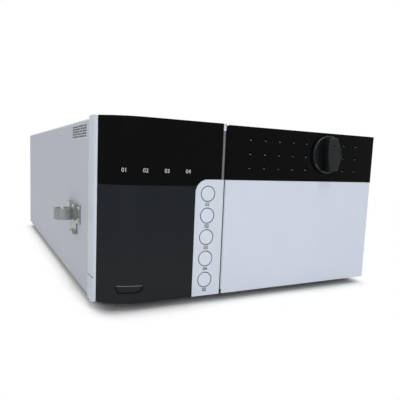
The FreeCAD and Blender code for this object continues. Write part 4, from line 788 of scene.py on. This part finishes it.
def sideSlab(low, high, inner, thick, corner):
    # A thin slab that lies on the left side, its four corners rounded. low and high are (y, z), inner is x.
    size = (thick, high[0] - low[0], high[1] - low[1])
    slab = startBlock(size, (inner - thick / 2, (low[0] + high[0]) / 2, (low[1] + high[1]) / 2))
    bpy.ops.object.mode_set(mode="EDIT")
    bpy.ops.mesh.select_mode(type="EDGE")
    bpy.ops.mesh.select_all(action="DESELECT")
    bpy.ops.object.mode_set(mode="OBJECT")
    points = slab.data.vertices
    for edge in slab.data.edges:
        first, second = (points[index].co for index in edge.vertices)
        edge.select = abs(first.x - second.x) > thick / 2 * mm
    bpy.ops.object.mode_set(mode="EDIT")
    bpy.ops.mesh.bevel(offset=corner * mm, segments=sticker["cornerSteps"])
    bpy.ops.object.mode_set(mode="OBJECT")
    return slab


def makeSticker(facts):
    # A label with rows of plain bars, as on a form that is filled in with lines.
    coverLow, coverHigh = lowOf("top_cover"), highOf("top_cover")
    start = coverLow.y + facts["behindEdge"]
    top = coverHigh.z - facts["belowTop"]
    label = sideSlab((start, top - facts["height"]), (start + facts["length"], top),
                     coverLow.x, facts["thick"], facts["corner"])
    settle(label, "sideSticker", stickerLook(paper), "case")
    end = start + facts["length"] - facts["margin"]
    pitch = (facts["height"] - 2 * facts["margin"]) / (len(facts["cuts"]) - 1)
    for row, cuts in enumerate(facts["cuts"]):
        height = top - facts["margin"] - row * pitch
        near = start + facts["margin"]
        for letter, length in zip("abc", (*cuts, facts["length"])):
            far = min(near + length, end)
            bar = sideSlab((near, height - facts["bar"] / 2), (far, height + facts["bar"] / 2),
                           coverLow.x - facts["thick"], facts["barThick"], facts["barCorner"])
            settle(bar, f"stickerBar{row + 1}{letter}", inks["dark"], "case")
            near = far + facts["gap"]


makeSticker(sticker)

print("scene: screw recesses")

recess = {
    "core": 0.8, "arm": 1.05, "thick": 0.04, "lift": 0.02,
    "near": 0.1, "facing": 0.9,         # how the end face of an arm is found
    "headHeight": 1.6,
    # the node whose middle a screw is counted from, its place across and up from there, and its turn
    "screws": (
        ("rear_screws", -117.4, -56.05, 12), ("rear_screws", 117.4, -56.05, 71),
        ("rear_screws", -117.4, 56.05, 38), ("rear_screws", 117.4, 56.05, 5),
        ("fan_frame", -25, -25, 55), ("fan_frame", -25, 25, 24),
        ("fan_frame", 25, -25, 80), ("fan_frame", 25, 25, 47),
        ("power_inlet", -20, 0, 31), ("power_inlet", 20, 0, 63),
    ),
}


def makeRecess(facts):
    # Painted shade: a flat dark cross with four arms, drawn out of a small block in the plane of the rear panel,
    # stands for the shaded hollow of a screw's cross recess.
    cross = startBlock((facts["core"], facts["thick"], facts["core"]))
    for way in (Vector((1, 0, 0)), Vector((-1, 0, 0)), Vector((0, 0, 1)), Vector((0, 0, -1))):
        side = way * facts["core"] / 2 * mm
        for face in cross.data.polygons:
            near = (face.center - side).length < facts["near"] * mm
            face.select = near and face.normal.dot(way) > facts["facing"]
        bpy.ops.object.mode_set(mode="EDIT")
        bpy.ops.mesh.select_mode(type="FACE")
        bpy.ops.mesh.extrude_region_move(TRANSFORM_OT_translate={"value": way * facts["arm"] * mm})
        bpy.ops.mesh.select_all(action="DESELECT")
        bpy.ops.object.mode_set(mode="OBJECT")
    return cross


recessShape = makeRecess(recess)
for number, (node, across, up, turn) in enumerate(recess["screws"], start=1):
    seat = "power_inlet" if node == "power_inlet" else "rear_panel"
    depth = highOf(seat).y + recess["headHeight"] + recess["lift"]
    middle = middleOf(node)
    cross = recessShape.copy()
    cross.data = recessShape.data.copy()
    bpy.context.collection.objects.link(cross)
    cross.location = Vector((middle.x + across, depth, middle.z + up)) * mm
    cross.rotation_euler = (0, math.radians(turn), 0)
    # painted shade: each cross takes the dark ink's material
    settle(cross, f"screwRecess{number}", inks["dark"], "case")
bpy.data.objects.remove(recessShape)

print("scene: floor and light")

white = (1, 1, 1, 1)

# The distances count from a line that lies inset within the case's outline, in millimetres.
floorFacts = {
    "size": 12000, "inset": 14,
    "haste": {"X": 1.35, "Y": 1.0},     # they pass sooner at the sides than in front
    "colour": (0.90, 0.895, 0.885), "unevenness": (3, 2, 0.5), "dim": 0.995, "rough": 0.9,
    # painted shadow: the floor's colour is darker under the unit
    "under": (0.48, 0.47, 0.46),        # the floor under the unit
    "foot": (0, 22),                    # where that colour fades out
    "lift": 0.20, "open": (4, 30),      # plain white added to the lit floor, and where it sets in
    "clear": (10, 42),                  # where the floor turns plain white
}


def makeFloor(facts):
    clearSelection()
    bpy.ops.mesh.primitive_plane_add(size=facts["size"] * mm, location=(0, 0, 0))
    floor = bpy.context.object
    floor.name = "floor"
    look = Look("floorPaper")
    coverLow, coverHigh = lowOf("top_cover"), highOf("top_cover")
    outline = {"X": (coverLow.x, coverHigh.x), "Y": (lowOf("door_shell").y, coverHigh.y)}
    beyond = []
    for letter, (start, end) in outline.items():
        half = (end - start) / 2 - facts["inset"]
        offset = look.ruler(letter) - (start + end) / 2
        beyond.append((offset.size() - half).larger(0.0) * facts["haste"][letter])
    distance = beyond[0].reach(beyond[1])
    sheet = look.blend(look.noise(*facts["unevenness"]), shade(facts["colour"], facts["dim"]),
                       shade(facts["colour"]))
    # painted shadow under the unit, fading out near the case's outline
    sheet = look.blend(distance.fadeIn(*facts["foot"]), shade(facts["under"]), sheet)
    look.finish({"Base Color": sheet, "Roughness": facts["rough"], "Specular IOR Level": 0.0})
    seen = look.seen()
    plain = look.make("ShaderNodeEmission", None, {"Color": white, "Strength": 1.0})
    glow = look.make("ShaderNodeEmission", None, {"Color": white, "Strength": facts["lift"]})
    lifted = look.make("ShaderNodeAddShader")
    opened = look.make("ShaderNodeMixShader", None, {0: distance.fadeIn(*facts["open"]) * seen})
    whole = look.make("ShaderNodeMixShader", None, {0: distance.fadeIn(*facts["clear"]) * seen})
    look.join(look.shader, lifted, 0)
    look.join(glow, lifted, 1)
    look.join(look.shader, opened, 1)
    look.join(lifted, opened, 2)
    look.join(opened, whole, 1)
    look.join(plain, whole, 2)
    look.join(whole, look.tree.nodes["Material Output"], 0)
    floor.data.materials.append(look.material)


worldFacts = {"colour": (0.94, 0.96, 1.0), "strength": 0.30}


def makeWorld(facts):
    # A soft light from all round, seen as plain white.
    world = bpy.data.worlds.new("studio")
    bpy.context.scene.world = world
    world.use_nodes = True
    world.node_tree.nodes.clear()
    graph = Graph(world.node_tree)
    soft = graph.make("ShaderNodeBackground", None, {0: shade(facts["colour"]), 1: facts["strength"]})
    plain = graph.make("ShaderNodeBackground", None, {0: white, 1: 1.0})
    mix = graph.make("ShaderNodeMixShader", None, {0: graph.seen()})
    graph.join(soft, mix, 1)
    graph.join(plain, mix, 2)
    graph.join(mix, graph.make("ShaderNodeOutputWorld"), 0)


# Places, aims and sizes are in metres, and powers in watts.
lamps = {
    "overhead": {"place": (-0.02, 0.02, 2.1), "aim": (0, -0.1, 0.0), "size": (0.6, 0.6), "power": 21},
    "front": {"place": (-0.50, -2.2, 0.85), "aim": (0, 0, 0.06), "size": (1.4, 1.0), "power": 11.0},
    "brow": {"place": (0.08, -0.95, 1.55), "aim": (0, -0.2, 0.1), "size": (0.28, 0.28), "power": 5.6},
    "behind": {"place": (-0.6, 2.2, 1.3), "aim": (0, 0.1, 0.06), "size": (1.2, 0.9), "power": 8},
    "left": {"place": (-1.25, -1.15, 0.75), "aim": (-0.1, -0.15, 0.06), "size": (1.0, 0.8), "power": 4.0},
}


def makeLamp(name, facts):
    data = bpy.data.lights.new(name, "AREA")
    data.shape = "RECTANGLE"
    data.size, data.size_y = facts["size"]
    data.energy = facts["power"]
    lamp = bpy.data.objects.new(name, data)
    bpy.context.collection.objects.link(lamp)
    lamp.location = facts["place"]
    lamp.rotation_mode = "QUATERNION"
    lamp.rotation_quaternion = (Vector(facts["aim"]) - Vector(facts["place"])).to_track_quat("-Z", "Y")


makeFloor(floorFacts)
makeWorld(worldFacts)
for lampName, lampFacts in lamps.items():
    makeLamp(lampName, lampFacts)

print("scene: done")
